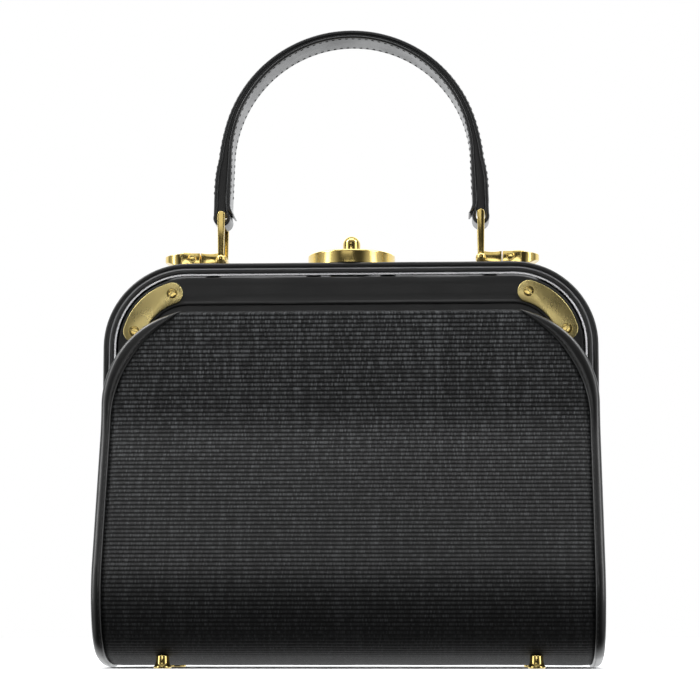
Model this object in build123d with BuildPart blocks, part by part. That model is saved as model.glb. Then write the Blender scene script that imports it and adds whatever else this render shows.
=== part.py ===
from build123d import *
import math
import os

# Doctor bag, millimetres. X runs along the bag, the front faces -Y, Z is up.
# The origin is on the floor under the middle of the bag.

os.makedirs("parts", exist_ok=True)

# driving dimensions
bag_half_width = 135.0
arch_top = 220.0
arch_half_depth = 24.0
arch_corner = 46.0
arch_foot = 108.0            # lower end of the arch legs

outer_leather = 3.1
steel_core = 0.7
inner_leather = 2.3
liner = 0.9
arch_wall = outer_leather + steel_core + inner_leather + liner

hinge_z = 128.0
hinge_y = -19.5
pin_radius = 1.5
pin_head_radius = 2.6
pin_head_wall = 1.2
running_gap = 0.05
press_gap = 0.02

slit = 2.2                   # between the arch liner and the front band
band_wall = 12.2
band_front = 24.5
band_back = 14.5
band_half_width = bag_half_width - arch_wall - slit
band_top = arch_top - arch_wall - slit + 0.2
band_corner = 37.0
rail_inset = 3.0
rail_width = 6.2
rail_front = 20.5
flange_width = 23.0
flange_front = 23.5
flange_back = 21.5

plate_thickness = 1.2
plate_path_radius = 30.3
plate_width = 12.0
plate_start_angle = 16.0
plate_sweep = 57.5
screw_head_radius = 2.9
screw_proud = 0.2
shank_radius = 0.9
shank_length = 3.5
slot_width = 0.6

panel_top = 193.5
panel_corner = 52.0
panel_depth = 28.8
belly_z = 3.2
belly_radius = 150.0
belly_turn = 12.0            # degrees turned by each arc of the side outline
corner_radius = 28.0
corner_turn = 53.0
bulge_radius = 47.0
bulge_turn = 42.5
waist_radius = 60.0
wrap_wall = 2.2
wrap_half_width = 129.5
binding_out = 0.8
binding_in = 2.8
binding_start_angle = 80.0
upper_panel_foot = 130.5
lower_panel_head = 122.5

foot_x = 99.3
foot_y = 33.0
foot_seat = 6.1
stud_radius = 1.5
board_z = 16.0
board_wall = 2.0

nut_radius = 4.3
nut_wall = 1.6
lock_radius = 24.2
lock_height = 7.5
shaft_radius = 2.5
bush_radius = 4.5
knob_radius = 4.7
knob_top = 238.6
knob_gap = 0.3
knob_dome = 3.4
backplate_radius = 14.0
backplate_wall = 1.6

block_far_x = 83.3
block_half_depth = 10.3
block_height = 8.0
cap_near_x = 83.9
cap_round_x = 94.0
cap_tip_height = 7.2
cap_tip_lift = 4.0
cap_screw_x = 92.5
cap_head_radius = 4.2
cap_pin_x = 88.2
cap_pin_z = 224.8
ring_x = 72.0
ring_pivot_z = 224.3
ring_bar_z = 248.0
ring_bar_radius = 1.7
ring_inner = 10.6            # half distance between the upright bars
ring_bar_depth = 2.6

handle_radius = 72.2
handle_spring_z = 281.3
handle_leg_z = 255.0
handle_half_width = 12.0
handle_end_half_width = 9.6
handle_taper_height = 60.0
plate_edge = 0.35
lock_edge = 0.9
arch_foot_corner = 12.0
hinge_end_radius = 5.0
board_corner = 6.0
loop_radius = 4.75
loop_bore = 2.3

gusset_wall = 1.5
gusset_tongue_half_depth = 13.5
gusset_tongue_height = 46.0
lining_wall = 1.0
lining_head = 118.0
board_half_length = 118.0
board_half_depth = 35.0
stiffener_lap = 3.0
stud_top = 21.0
foot_nut_corner = 3.6
foot_nut_wall = 2.4

lock_stud_reach = 4.0
block_stud_reach = 3.0
shaft_foot = 206.6
hook_gap = 0.4
hook_reach = 11.6
hook_hub = 4.5
nut_corner = 4.2
hook_tip = 2.6
hook_width = 5.0
hook_wall = 2.0
hook_drop = 3.4
catch_wall = 1.4
catch_foot = 201.0
catch_pad = 6.5
catch_half_width = 8.0
catch_lip_y = 6.5
catch_lip_z = 208.2
catch_lip_half_width = 3.0
catch_shelf_z = 203.0
catch_screw_head = 1.5
catch_screw_proud = 0.6
catch_screw_places = [(-5.8, 204.2), (5.8, 204.2)]
knuckle_radius = 3.0
block_near_x = ring_x + 1.5
block_dip = 0.5
cap_head_wall = 2.0
cap_recess = 0.6
cap_flat = 6.0
cap_pin_head = 2.3
cap_pin_proud = 0.6
ring_foot_half = 1.4
ring_head_half = 2.0
ring_head_z = ring_bar_z + 1.2
ring_eye = 2.5
ring_edge = 0.3
ball_radius = 2.2
ball_length = 1.4
ball_round = 0.9

arch_under = arch_top - arch_wall
far = 250.0


def save(piece, label):
    piece.label = label
    export_step(piece, f"parts/{label}.step")


def flipped(piece, plane):
    return mirror(piece, about=plane)


# shared outlines
def arched_face(half_width, top, radius, bottom):
    """Flat shape with two rounded upper corners, seen from the front."""
    with BuildSketch() as face:
        with BuildLine():
            Line((-half_width, bottom), (half_width, bottom))
            Line((half_width, bottom), (half_width, top - radius))
            RadiusArc((half_width, top - radius), (half_width - radius, top), -radius)
            Line((half_width - radius, top), (radius - half_width, top))
            RadiusArc((radius - half_width, top), (-half_width, top - radius), -radius)
            Line((-half_width, top - radius), (-half_width, bottom))
        make_face()
    return face.sketch


def hoop(half_width, top, radius, wall, bottom):
    """The strip between an arched outline and the same outline moved inward."""
    outer = arched_face(half_width, top, radius, bottom)
    inner = arched_face(half_width - wall, top - wall, radius - wall, bottom - 1)
    return outer - inner


def hoop_bar(half_width, top, radius, wall, bottom, front, back):
    """A hoop with depth, from y = -front to y = -back."""
    with BuildPart() as bar:
        with BuildSketch(Plane.XZ.offset(front)):
            add(hoop(half_width, top, radius, wall, bottom))
        extrude(amount=back - front)
    return bar.part


def body_section(inset):
    """Bag body seen from the side: upright above, swelling to the rounded belly."""
    slope = belly_turn + corner_turn + bulge_turn - 90
    with BuildSketch() as face:
        with BuildLine():
            belly = JernArc((0, belly_z), (1, 0), belly_radius, belly_turn)
            corner = JernArc(belly @ 1, belly % 1, corner_radius, corner_turn)
            bulge = JernArc(corner @ 1, corner % 1, bulge_radius, bulge_turn)
            inward = (bulge @ 1).X - panel_depth - waist_radius * (1 - math.cos(math.radians(slope)))
            wall = PolarLine(bulge @ 1, inward / math.sin(math.radians(slope)), 90 + slope)
            waist = JernArc(wall @ 1, wall % 1, waist_radius, -slope)
            Line(waist @ 1, (panel_depth, far))
            Line((panel_depth, far), (0, far))
            mirror(about=Plane.YZ)
        make_face()
        if inset:
            offset(amount=-inset, kind=Kind.INTERSECTION, mode=Mode.REPLACE)
    return face.sketch


def panel_face(with_binding, bottom):
    """Front or rear panel seen from the front. The side binding starts as a thin
    point on the upper corner and widens down to its full width."""
    corner_x = bag_half_width - panel_corner
    corner_z = panel_top - panel_corner
    with BuildSketch() as face:
        with BuildLine():
            Line((0, panel_top), (corner_x, panel_top))
            if with_binding:
                RadiusArc((corner_x, panel_top), (bag_half_width, corner_z), panel_corner)
                side = Line((bag_half_width, corner_z), (bag_half_width, bottom))
            else:
                cap = CenterArc(
                    (corner_x, corner_z), panel_corner, 90, binding_start_angle - 90
                )
                turn = TangentArc((wrap_half_width, corner_z - 6.5), cap @ 1, tangent=(0, 1))
                side = Line(turn @ 0, (wrap_half_width, bottom))
            Line(side @ 1, (0, bottom))
            mirror(about=Plane.YZ)
        make_face()
    return face.sketch


def corner_centre():
    return band_half_width - band_corner, band_top - band_corner


def on_corner(radius, angle):
    """A point on the band's corner, seen from the front."""
    x, z = corner_centre()
    step = Vector(radius, 0, 0).rotate(Axis.Z, angle)
    return x + step.X, z + step.Y


# arch: four nested strips that make the fixed half of the frame
def arch_strip(inset, wall):
    with BuildPart() as strip:
        with BuildSketch(Plane.XZ.offset(arch_half_depth)):
            add(
                hoop(
                    bag_half_width - inset,
                    arch_top - inset,
                    arch_corner - inset,
                    wall,
                    arch_foot,
                )
            )
        extrude(amount=-2 * arch_half_depth)
        with BuildSketch(Plane.YZ):
            with Locations((0, arch_foot)):
                Rectangle(2 * arch_half_depth, far, align=(Align.CENTER, Align.MIN))
            fillet(vertices().group_by(Axis.Y)[0], arch_foot_corner)
        extrude(amount=bag_half_width + 1, both=True, mode=Mode.INTERSECT)
        for y in (hinge_y, -hinge_y):
            with Locations((0, y, hinge_z)):
                Cylinder(pin_radius + press_gap, 2 * (bag_half_width - outer_leather),
                         rotation=(0, 90, 0), mode=Mode.SUBTRACT)
        with Locations((0, 0, arch_top)):
            Cylinder(bush_radius + press_gap, 20, mode=Mode.SUBTRACT)
        for x, y in stud_places:
            with Locations((x, y, arch_top)):
                Cylinder(stud_radius + press_gap, 20, mode=Mode.SUBTRACT)
    return strip.part


lock_stud_places = [(sx * 20.5, sy * 9.5) for sx in (-1, 1) for sy in (-1, 1)]
block_stud_places = [(sx * 76.6, sy * 8.4) for sx in (-1, 1) for sy in (-1, 1)]
cap_screw_places = [(-cap_screw_x, 0), (cap_screw_x, 0)]
stud_places = lock_stud_places + block_stud_places + cap_screw_places

strips = (
    ("arch_outer_cover", outer_leather),
    ("arch_steel_core", steel_core),
    ("arch_inner_cover", inner_leather),
    ("arch_liner", liner),
)
inset = 0
for name, wall in strips:
    save(arch_strip(inset, wall), name)
    inset += wall


# bands: the hoop that carries each panel
def hinge_end():
    """Keeps a band leg above its hinge and rounds its end about the pin."""
    with BuildPart() as keep:
        with BuildSketch(Plane.YZ):
            with Locations((hinge_y, hinge_z)):
                Circle(hinge_end_radius)
                Rectangle(2 * hinge_end_radius, far, align=(Align.CENTER, Align.MIN))
        extrude(amount=bag_half_width, both=True)
    return keep.part


def band_cover(grow):
    """Leather cover of a band. grow closes the slit on the rear, fixed band."""
    half_width = band_half_width + grow
    top = band_top + grow
    corner = band_corner + grow
    with BuildPart() as cover:
        add(hoop_bar(half_width, top, corner, band_wall + grow, hinge_z - 6,
                     band_front, band_back))
        add(hoop_bar(band_half_width, band_top, band_corner, flange_width, hinge_z - 6,
                     flange_front, flange_back))
        add(
            hoop_bar(
                band_half_width - rail_inset,
                band_top - rail_inset,
                band_corner - rail_inset,
                rail_width,
                hinge_z - 7,
                rail_front,
                band_back - 1,
            ),
            mode=Mode.SUBTRACT,
        )
        add(hinge_end(), mode=Mode.INTERSECT)
        with Locations((0, hinge_y, hinge_z)):
            Cylinder(pin_radius + running_gap, 2 * bag_half_width,
                     rotation=(0, 90, 0), mode=Mode.SUBTRACT)
        for x, z in screw_places:
            with Locations((x, -band_front, z)):
                Cylinder(shank_radius + press_gap, 2 * shank_length, rotation=(90, 0, 0),
                         mode=Mode.SUBTRACT)
        with Locations((0, hinge_y, hinge_z)):
            Cylinder(pin_head_radius + 0.4, 2 * (half_width - band_wall - grow),
                     rotation=(0, 90, 0), mode=Mode.SUBTRACT)
    return cover.part


screw_places = []
for angle in (plate_start_angle, plate_start_angle + plate_sweep):
    x, z = on_corner(plate_path_radius, angle)
    screw_places += [(x, z), (-x, z)]

front_cover = band_cover(0)
save(front_cover, "front_band_cover")
save(flipped(band_cover(slit - 0.3), Plane.XZ), "rear_band_cover")

with BuildPart() as front_rail:
    add(hoop_bar(band_half_width - rail_inset, band_top - rail_inset,
                 band_corner - rail_inset, rail_width, hinge_z - 6, rail_front, band_back))
    add(hinge_end(), mode=Mode.INTERSECT)
    with Locations((0, hinge_y, hinge_z)):
        Cylinder(pin_radius + running_gap, 2 * bag_half_width,
                 rotation=(0, 90, 0), mode=Mode.SUBTRACT)
save(front_rail.part, "front_band_rail")
save(flipped(front_rail.part, Plane.XZ), "rear_band_rail")


# brass corner plates and their slotted screws
def crescent():
    with BuildSketch() as shape:
        path = CenterArc(corner_centre(), plate_path_radius, plate_start_angle,
                         plate_sweep, mode=Mode.PRIVATE)
        SlotArc(path, plate_width)
    return shape.sketch


def corner_plate():
    with BuildPart() as plate:
        with BuildSketch(Plane.XZ.offset(band_front)):
            add(crescent())
        extrude(amount=plate_thickness)
        rim = faces().sort_by(Axis.Y)[0].outer_wire().edges()
        chamfer(rim, plate_edge)
        for x, z in screw_places:
            with Locations((x, -band_front, z)):
                Cylinder(screw_head_radius + press_gap, 10, rotation=(90, 0, 0),
                         mode=Mode.SUBTRACT)
    return plate.part


def corner_screws():
    head = plate_thickness + screw_proud
    with BuildPart() as screws:
        for number, (x, z) in enumerate(screw_places):
            with Locations((x, -band_front - head / 2, z)):
                Cylinder(screw_head_radius, head, rotation=(90, 0, 0))
            with Locations((x, -band_front + shank_length / 2, z)):
                Cylinder(shank_radius, shank_length, rotation=(90, 0, 0))
            with Locations((x, -band_front - head, z)):
                Box(2 * screw_head_radius, 1, slot_width,
                    rotation=(0, 30 + 50 * number, 0), mode=Mode.SUBTRACT)
    return screws.part


right_plate = corner_plate()
left_plate = flipped(right_plate, Plane.YZ)
screws = corner_screws()
save(right_plate, "front_right_corner_plate")
save(left_plate, "front_left_corner_plate")
save(screws, "front_corner_screws")
save(flipped(right_plate, Plane.XZ), "rear_right_corner_plate")
save(flipped(left_plate, Plane.XZ), "rear_left_corner_plate")
save(flipped(screws, Plane.XZ), "rear_corner_screws")


# hinge pins: riveted in the arch legs, running in the front band
def hinge_pins(y):
    inner_x = band_half_width - band_wall
    outer_x = bag_half_width - outer_leather
    with BuildPart() as pins:
        for side in (-1, 1):
            with Locations((side * (inner_x + outer_x) / 2, y, hinge_z)):
                Cylinder(pin_radius, outer_x - inner_x, rotation=(0, 90, 0))
            with Locations((side * (inner_x - pin_head_wall / 2 - running_gap), y, hinge_z)):
                Cylinder(pin_head_radius, pin_head_wall + 2 * running_gap, rotation=(0, 90, 0))
            with Locations((side * inner_x, y, hinge_z)):
                Cylinder(pin_radius, 2 * pin_head_wall, rotation=(0, 90, 0))
    return pins.part


save(hinge_pins(hinge_y), "front_hinge_pins")
save(hinge_pins(-hinge_y), "rear_frame_rivets")


# body: fabric wrap, bindings, gussets, lining
def section_shell(outer_inset, inner_inset, x_from, x_to):
    """A wall that follows the body's side outline."""
    with BuildPart() as shell:
        with BuildSketch(Plane.YZ.offset(x_from)):
            add(body_section(outer_inset))
            add(body_section(inner_inset), mode=Mode.SUBTRACT)
        extrude(amount=x_to - x_from)
    return shell.part


def front_block(bottom):
    """Everything in front of the middle plane and above a height."""
    with BuildPart() as block:
        with Locations((0, 0, bottom)):
            Box(2 * far, far, far, align=(Align.CENTER, Align.MAX, Align.MIN))
    return block.part


def panel_prism(with_binding):
    with BuildPart() as prism:
        with BuildSketch(Plane.XZ):
            add(panel_face(with_binding, -far))
        extrude(amount=far, both=True)
    return prism.part


def binding():
    with BuildPart() as strip:
        add(section_shell(-binding_out, binding_in, bag_half_width / 2, bag_half_width))
        add(panel_prism(True), mode=Mode.INTERSECT)
        add(panel_prism(False), mode=Mode.SUBTRACT)
    return strip.part


foot_places = [(sx * foot_x, sy * foot_y) for sx in (-1, 1) for sy in (-1, 1)]

with BuildPart() as whole_wrap:
    add(section_shell(0, wrap_wall, -wrap_half_width, wrap_half_width))
    add(panel_prism(False), mode=Mode.INTERSECT)

with BuildPart() as body_wrap:
    add(whole_wrap.part)
    add(front_block(lower_panel_head), mode=Mode.SUBTRACT)
    for x, y in foot_places:
        with Locations((x, y, 0)):
            Cylinder(stud_radius + press_gap, 60, mode=Mode.SUBTRACT)
save(body_wrap.part, "body_wrap")

with BuildPart() as front_panel:
    add(whole_wrap.part)
    add(front_block(upper_panel_foot), mode=Mode.INTERSECT)
save(front_panel.part, "front_panel")

whole_binding = binding()
with BuildPart() as right_binding:
    add(whole_binding)
    add(front_block(lower_panel_head), mode=Mode.SUBTRACT)
save(right_binding.part, "right_binding")
save(flipped(right_binding.part, Plane.YZ), "left_binding")

with BuildPart() as front_right_binding:
    add(whole_binding)
    add(front_block(upper_panel_foot), mode=Mode.INTERSECT)
save(front_right_binding.part, "front_right_binding")
save(flipped(front_right_binding.part, Plane.YZ), "front_left_binding")

gusset_outer_x = bag_half_width - arch_wall - 0.1
with BuildPart() as right_gusset:
    with BuildSketch(Plane.YZ.offset(gusset_outer_x - gusset_wall)):
        add(body_section(wrap_wall + 0.1))
        with Locations((0, lower_panel_head - 0.5)):
            Rectangle(far, far, align=(Align.CENTER, Align.MIN), mode=Mode.SUBTRACT)
        with Locations((0, lower_panel_head - 0.5)):
            Rectangle(2 * gusset_tongue_half_depth, gusset_tongue_height,
                      align=(Align.CENTER, Align.MIN))
    extrude(amount=gusset_wall)
save(right_gusset.part, "right_gusset")
save(flipped(right_gusset.part, Plane.YZ), "left_gusset")

lining_half_width = gusset_outer_x - gusset_wall - 0.1
with BuildPart() as lining:
    with BuildSketch(Plane.YZ):
        add(body_section(wrap_wall + 0.1))
    extrude(amount=lining_half_width, both=True)
    with BuildSketch(Plane.YZ):
        add(body_section(wrap_wall + 0.1 + lining_wall))
    extrude(amount=lining_half_width - lining_wall, both=True, mode=Mode.SUBTRACT)
    with Locations((0, 0, lining_head)):
        Box(2 * far, 2 * far, far, align=(Align.CENTER, Align.CENTER, Align.MIN),
            mode=Mode.SUBTRACT)
    for x, y in foot_places:
        with Locations((x, y, 0)):
            Cylinder(stud_radius + press_gap, 60, mode=Mode.SUBTRACT)
save(lining.part, "lining")

with BuildPart() as base_board:
    with BuildSketch(Plane.XY.offset(board_z)):
        RectangleRounded(2 * board_half_length, 2 * board_half_depth, board_corner)
    extrude(amount=board_wall)
    for x, y in foot_places:
        with Locations((x, y, board_z)):
            Cylinder(stud_radius + press_gap, 10, mode=Mode.SUBTRACT)
save(base_board.part, "base_board")

with BuildPart() as front_stiffener:
    with BuildSketch(Plane.XZ.offset(flange_front)):
        add(
            arched_face(
                band_half_width - flange_width + stiffener_lap,
                band_top - flange_width + stiffener_lap,
                band_corner - flange_width + stiffener_lap,
                upper_panel_foot + 0.5,
            )
        )
    extrude(amount=panel_depth - wrap_wall - flange_front)
save(front_stiffener.part, "front_stiffener")
save(flipped(front_stiffener.part, Plane.XZ), "rear_stiffener")


# feet: turned bell shape on a threaded stud
with BuildPart() as foot:
    with BuildSketch(Plane.XZ):
        with BuildLine():
            Polyline((0, 0), (4.4, 0), (4.7, 0.4), (4.7, 1.2))
            ThreePointArc((4.7, 1.2), (3.0, 3.0), (2.3, 5.2))
            Polyline((2.3, 5.2), (2.6, 5.5), (2.6, foot_seat), (stud_radius, foot_seat),
                     (stud_radius, stud_top), (0, stud_top), (0, 0))
        make_face()
    revolve(axis=Axis.Z)

with BuildPart() as feet:
    with Locations(*[(x, y, 0) for x, y in foot_places]):
        add(foot.part)
save(feet.part, "feet")

with BuildPart() as foot_nuts:
    with BuildSketch(Plane.XY.offset(board_z + board_wall)):
        with Locations(*foot_places):
            RegularPolygon(foot_nut_corner, 6)
            Circle(stud_radius + press_gap, mode=Mode.SUBTRACT)
    extrude(amount=foot_nut_wall)
save(foot_nuts.part, "foot_nuts")


# turn lock
with BuildPart() as lock_plate:
    with BuildSketch(Plane.XY.offset(arch_top)):
        Circle(lock_radius)
        Circle(shaft_radius + running_gap, mode=Mode.SUBTRACT)
    extrude(amount=lock_height)
    fillet(edges().group_by(Axis.Z)[-1].sort_by(SortBy.RADIUS)[-1], lock_edge)
    with BuildSketch(Plane.XY.offset(arch_top)):
        with Locations(*lock_stud_places):
            Circle(stud_radius + press_gap)
    extrude(amount=lock_stud_reach, mode=Mode.SUBTRACT)
save(lock_plate.part, "lock_plate")

with BuildPart() as lock_bushing:
    with BuildSketch(Plane.XY.offset(arch_under)):
        Circle(bush_radius)
        Circle(shaft_radius + running_gap, mode=Mode.SUBTRACT)
    extrude(amount=arch_wall)
save(lock_bushing.part, "lock_bushing")

with BuildPart() as lock_backplate:
    with BuildSketch(Plane.XY.offset(arch_under)):
        Circle(backplate_radius)
        Circle(shaft_radius + running_gap, mode=Mode.SUBTRACT)
    extrude(amount=-backplate_wall)
save(lock_backplate.part, "lock_backplate")


def headed_studs(places, top):
    """Studs up through the arch, each with a flat head under the liner."""
    with BuildPart() as studs:
        with BuildSketch(Plane.XY.offset(arch_under - nut_wall)):
            with Locations(*places):
                Circle(nut_radius)
        extrude(amount=nut_wall)
        with BuildSketch(Plane.XY.offset(arch_under - nut_wall)):
            with Locations(*places):
                Circle(stud_radius)
        extrude(amount=top - arch_under + nut_wall)
    return studs.part


save(headed_studs(lock_stud_places, arch_top + lock_stud_reach), "lock_studs")
save(headed_studs(block_stud_places, arch_top + block_stud_reach), "bracket_studs")

hook_top = arch_under - backplate_wall - hook_gap
knob_foot = arch_top + lock_height + knob_gap
with BuildPart() as lock_knob:
    with BuildSketch(Plane.XY.offset(knob_foot)):
        Circle(knob_radius)
    extrude(amount=knob_top - knob_foot)
    fillet(edges().group_by(Axis.Z)[-1], knob_dome)
    with BuildSketch(Plane.XY.offset(shaft_foot)):
        Circle(shaft_radius)
    extrude(amount=knob_foot + 1 - shaft_foot)
save(lock_knob.part, "lock_knob")

with BuildPart() as lock_hook:
    with BuildSketch(Plane.XY.offset(hook_top)):
        Circle(hook_hub)
        Rectangle(hook_reach, hook_width, align=(Align.MAX, Align.CENTER))
        Circle(shaft_radius + press_gap, mode=Mode.SUBTRACT)
    extrude(amount=-hook_wall)
    with BuildSketch(Plane.XY.offset(hook_top - hook_wall)):
        with Locations((-hook_reach, 0)):
            Rectangle(hook_tip, hook_width, align=(Align.MIN, Align.CENTER))
    extrude(amount=-hook_drop)
save(lock_hook.part, "lock_hook")

with BuildPart() as hook_nut:
    with BuildSketch(Plane.XY.offset(hook_top - hook_wall)):
        RegularPolygon(nut_corner, 6)
        Circle(shaft_radius + press_gap, mode=Mode.SUBTRACT)
    extrude(amount=-(hook_top - hook_wall - shaft_foot))
save(hook_nut.part, "hook_nut")

with BuildPart() as catch_plate:
    with BuildSketch(Plane.XZ.offset(band_back)):
        with Locations((0, catch_foot)):
            Rectangle(2 * catch_half_width, catch_pad, align=(Align.CENTER, Align.MIN))
        with Locations(*catch_screw_places):
            Circle(shank_radius + press_gap, mode=Mode.SUBTRACT)
    extrude(amount=-catch_wall)
    with BuildSketch(Plane.YZ):
        with BuildLine():
            Polyline(
                (-band_back + catch_wall, catch_shelf_z),
                (-band_back + catch_wall, catch_shelf_z + catch_wall),
                (-catch_lip_y - catch_wall, catch_shelf_z + catch_wall),
                (-catch_lip_y - catch_wall, catch_lip_z),
                (-catch_lip_y, catch_lip_z),
                (-catch_lip_y, catch_shelf_z),
                close=True,
            )
        make_face()
    extrude(amount=catch_lip_half_width, both=True)
save(catch_plate.part, "catch_plate")

with BuildPart() as catch_screws:
    with BuildSketch(Plane.XZ.offset(band_back - catch_wall)):
        with Locations(*catch_screw_places):
            Circle(catch_screw_head)
    extrude(amount=-catch_screw_proud)
    with BuildSketch(Plane.XZ.offset(band_back - catch_wall)):
        with Locations(*catch_screw_places):
            Circle(shank_radius)
    extrude(amount=catch_wall)
save(catch_screws.part, "catch_screws")


# ring brackets
with BuildPart() as block:
    with BuildSketch(Plane.XZ.offset(block_half_depth)):
        with BuildLine():
            Line((block_near_x, arch_top), (block_far_x, arch_top))
            Line((block_far_x, arch_top), (block_far_x, arch_top + block_height))
            ThreePointArc(
                (block_far_x, arch_top + block_height),
                ((block_far_x + block_near_x) / 2, arch_top + block_height - block_dip),
                (block_near_x, arch_top + block_height),
            )
            Line((block_near_x, arch_top + block_height), (block_near_x, arch_top))
        make_face()
        with Locations((ring_x, ring_pivot_z)):
            Circle(knuckle_radius)
            Circle(pin_radius + running_gap, mode=Mode.SUBTRACT)
    extrude(amount=-2 * block_half_depth)
    with BuildSketch(Plane.XY.offset(arch_top)):
        with Locations(*block_stud_places):
            Circle(stud_radius + press_gap)
    extrude(amount=block_stud_reach, mode=Mode.SUBTRACT)
save(block.part, "right_ring_block")
save(flipped(block.part, Plane.YZ), "left_ring_block")

cap_top = arch_top + block_height - cap_recess
with BuildPart() as cap:
    with BuildSketch(Plane.XY.offset(arch_top)):
        with Locations((cap_round_x, 0)):
            Circle(block_half_depth)
            Rectangle(cap_round_x - cap_near_x, 2 * block_half_depth,
                      align=(Align.MAX, Align.CENTER))
        with Locations((cap_near_x, 0)):
            Rectangle(20, 40, align=(Align.MAX, Align.CENTER), mode=Mode.SUBTRACT)
    extrude(amount=block_height)
    with BuildSketch(Plane.XZ.offset(20)):
        with BuildLine():
            Polyline(
                (cap_near_x - 1, arch_top + block_height),
                (cap_near_x + cap_flat, arch_top + block_height),
                (cap_round_x + block_half_depth + 1, arch_top + cap_tip_height),
                (cap_round_x + block_half_depth + 1, arch_top + 20),
                (cap_near_x - 1, arch_top + 20),
                close=True,
            )
        make_face()
        with BuildLine():
            Polyline(
                (cap_round_x, arch_top),
                (cap_round_x + block_half_depth + 1, arch_top + cap_tip_lift),
                (cap_round_x + block_half_depth + 1, arch_top - 1),
                (cap_round_x, arch_top - 1),
                close=True,
            )
        make_face()
    extrude(amount=-40, mode=Mode.SUBTRACT)
    with Locations((cap_pin_x, 0, cap_pin_z)):
        Cylinder(pin_radius + press_gap, 60, rotation=(90, 0, 0), mode=Mode.SUBTRACT)
    with Locations((cap_screw_x, 0, arch_top)):
        Cylinder(stud_radius + press_gap, 60, mode=Mode.SUBTRACT)
    with Locations((cap_screw_x, 0, cap_top)):
        Cylinder(cap_head_radius + press_gap, 10, align=(Align.CENTER, Align.CENTER, Align.MIN),
                 mode=Mode.SUBTRACT)
save(cap.part, "right_ring_cap")
save(flipped(cap.part, Plane.YZ), "left_ring_cap")

with BuildPart() as cap_pins:
    for side in (-1, 1):
        with Locations((side * cap_pin_x, 0, cap_pin_z)):
            Cylinder(pin_radius, 2 * block_half_depth, rotation=(90, 0, 0))
        for end in (-1, 1):
            with Locations((side * cap_pin_x, end * (block_half_depth + cap_pin_proud / 2), cap_pin_z)):
                Cylinder(cap_pin_head, cap_pin_proud, rotation=(90, 0, 0))
save(cap_pins.part, "cap_pins")

with BuildPart() as cap_screws:
    for side in (-1, 1):
        with Locations((side * cap_screw_x, 0, cap_top + cap_head_wall / 2)):
            Cylinder(cap_head_radius, cap_head_wall)
        with Locations((side * cap_screw_x, 0, (cap_top + arch_under - nut_wall) / 2)):
            Cylinder(stud_radius, cap_top - arch_under + nut_wall)
    fillet(edges().filter_by(GeomType.CIRCLE).group_by(Axis.Z)[-1], 0.6)
    for side in (-1, 1):
        with Locations((side * cap_screw_x, 0, cap_top + cap_head_wall)):
            Box(3 * cap_head_radius, slot_width, 1, rotation=(0, 0, 25 * side), mode=Mode.SUBTRACT)
save(cap_screws.part, "cap_screws")


# rings and handle
def upright():
    with BuildPart() as bar:
        with BuildSketch(Plane.XZ.offset(ring_inner + ring_bar_depth)):
            with BuildLine():
                Polyline(
                    (ring_x - ring_foot_half, ring_pivot_z),
                    (ring_x + ring_foot_half, ring_pivot_z),
                    (ring_x + ring_head_half, ring_head_z),
                    (ring_x - ring_head_half, ring_head_z),
                    close=True,
                )
            make_face()
            with Locations((ring_x, ring_head_z)):
                Circle(ring_head_half)
            with Locations((ring_x, ring_pivot_z)):
                Circle(ring_eye)
                Circle(pin_radius + press_gap, mode=Mode.SUBTRACT)
        extrude(amount=-ring_bar_depth)
        outer = faces().sort_by(Axis.Y)[0].outer_wire().edges()
        chamfer(outer, ring_edge)
    return bar.part


front_upright = upright()
with BuildPart() as ring:
    add(front_upright)
    add(flipped(front_upright, Plane.XZ))
    with Locations((ring_x, 0, ring_bar_z)):
        Cylinder(ring_bar_radius, 2 * ring_inner + 1, rotation=(90, 0, 0))
save(ring.part, "right_ring")
save(flipped(ring.part, Plane.YZ), "left_ring")

ball_y = ring_inner + ring_bar_depth + ball_length / 2
with BuildPart() as ring_pin:
    with Locations((ring_x, 0, ring_pivot_z)):
        Cylinder(pin_radius, 2 * (ring_inner + ring_bar_depth), rotation=(90, 0, 0))
    for end in (-1, 1):
        with Locations((ring_x, end * ball_y, ring_pivot_z)):
            Cylinder(ball_radius, ball_length, rotation=(90, 0, 0))
    for end in (0, -1):
        fillet(edges().filter_by(GeomType.CIRCLE).group_by(Axis.Y)[end], ball_round)
save(ring_pin.part, "right_ring_pin")
save(flipped(ring_pin.part, Plane.YZ), "left_ring_pin")


def handle_layer(outer, inner, foot_z):
    """One leather layer of the handle: a crown over two legs. outer and inner are
    (half width at the spring line, crown height, half width at the leg's foot)."""
    with BuildSketch() as face:
        for mode, (side, crown, foot) in ((Mode.ADD, outer), (Mode.SUBTRACT, inner)):
            drop = 0 if mode == Mode.ADD else 1
            slope = (foot - side) / (handle_spring_z - handle_leg_z)
            end = side + slope * (handle_spring_z - foot_z + drop)
            with BuildLine():
                ThreePointArc((-side, handle_spring_z), (0, crown), (side, handle_spring_z))
                Polyline((side, handle_spring_z), (end, foot_z - drop), (-end, foot_z - drop),
                         (-side, handle_spring_z))
            make_face(mode=mode)
    return face.sketch


def handle_taper():
    """The handle seen from the side: full width above, narrow at the rings."""
    with BuildPart() as taper:
        with BuildSketch(Plane.YZ):
            with BuildLine():
                Polyline(
                    (0, 200),
                    (handle_end_half_width, 200),
                    (handle_end_half_width, handle_leg_z + 2),
                    (handle_half_width, handle_leg_z + handle_taper_height),
                    (handle_half_width, 400),
                    (0, 400),
                )
                mirror(about=Plane.YZ)
            make_face()
        extrude(amount=bag_half_width, both=True)
    return taper.part


# Each line between two layers: half width at the spring line, crown height, half
# width at the foot of the leg.
handle_lines = (
    (handle_radius, 353.5, 76.1),
    (70.2, 351.7, 73.9),
    (68.6, 350.9, 70.0),
    (66.6, 349.3, 67.4),
)
loop_places = [(-ring_x, ring_bar_z), (ring_x, ring_bar_z)]

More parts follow.
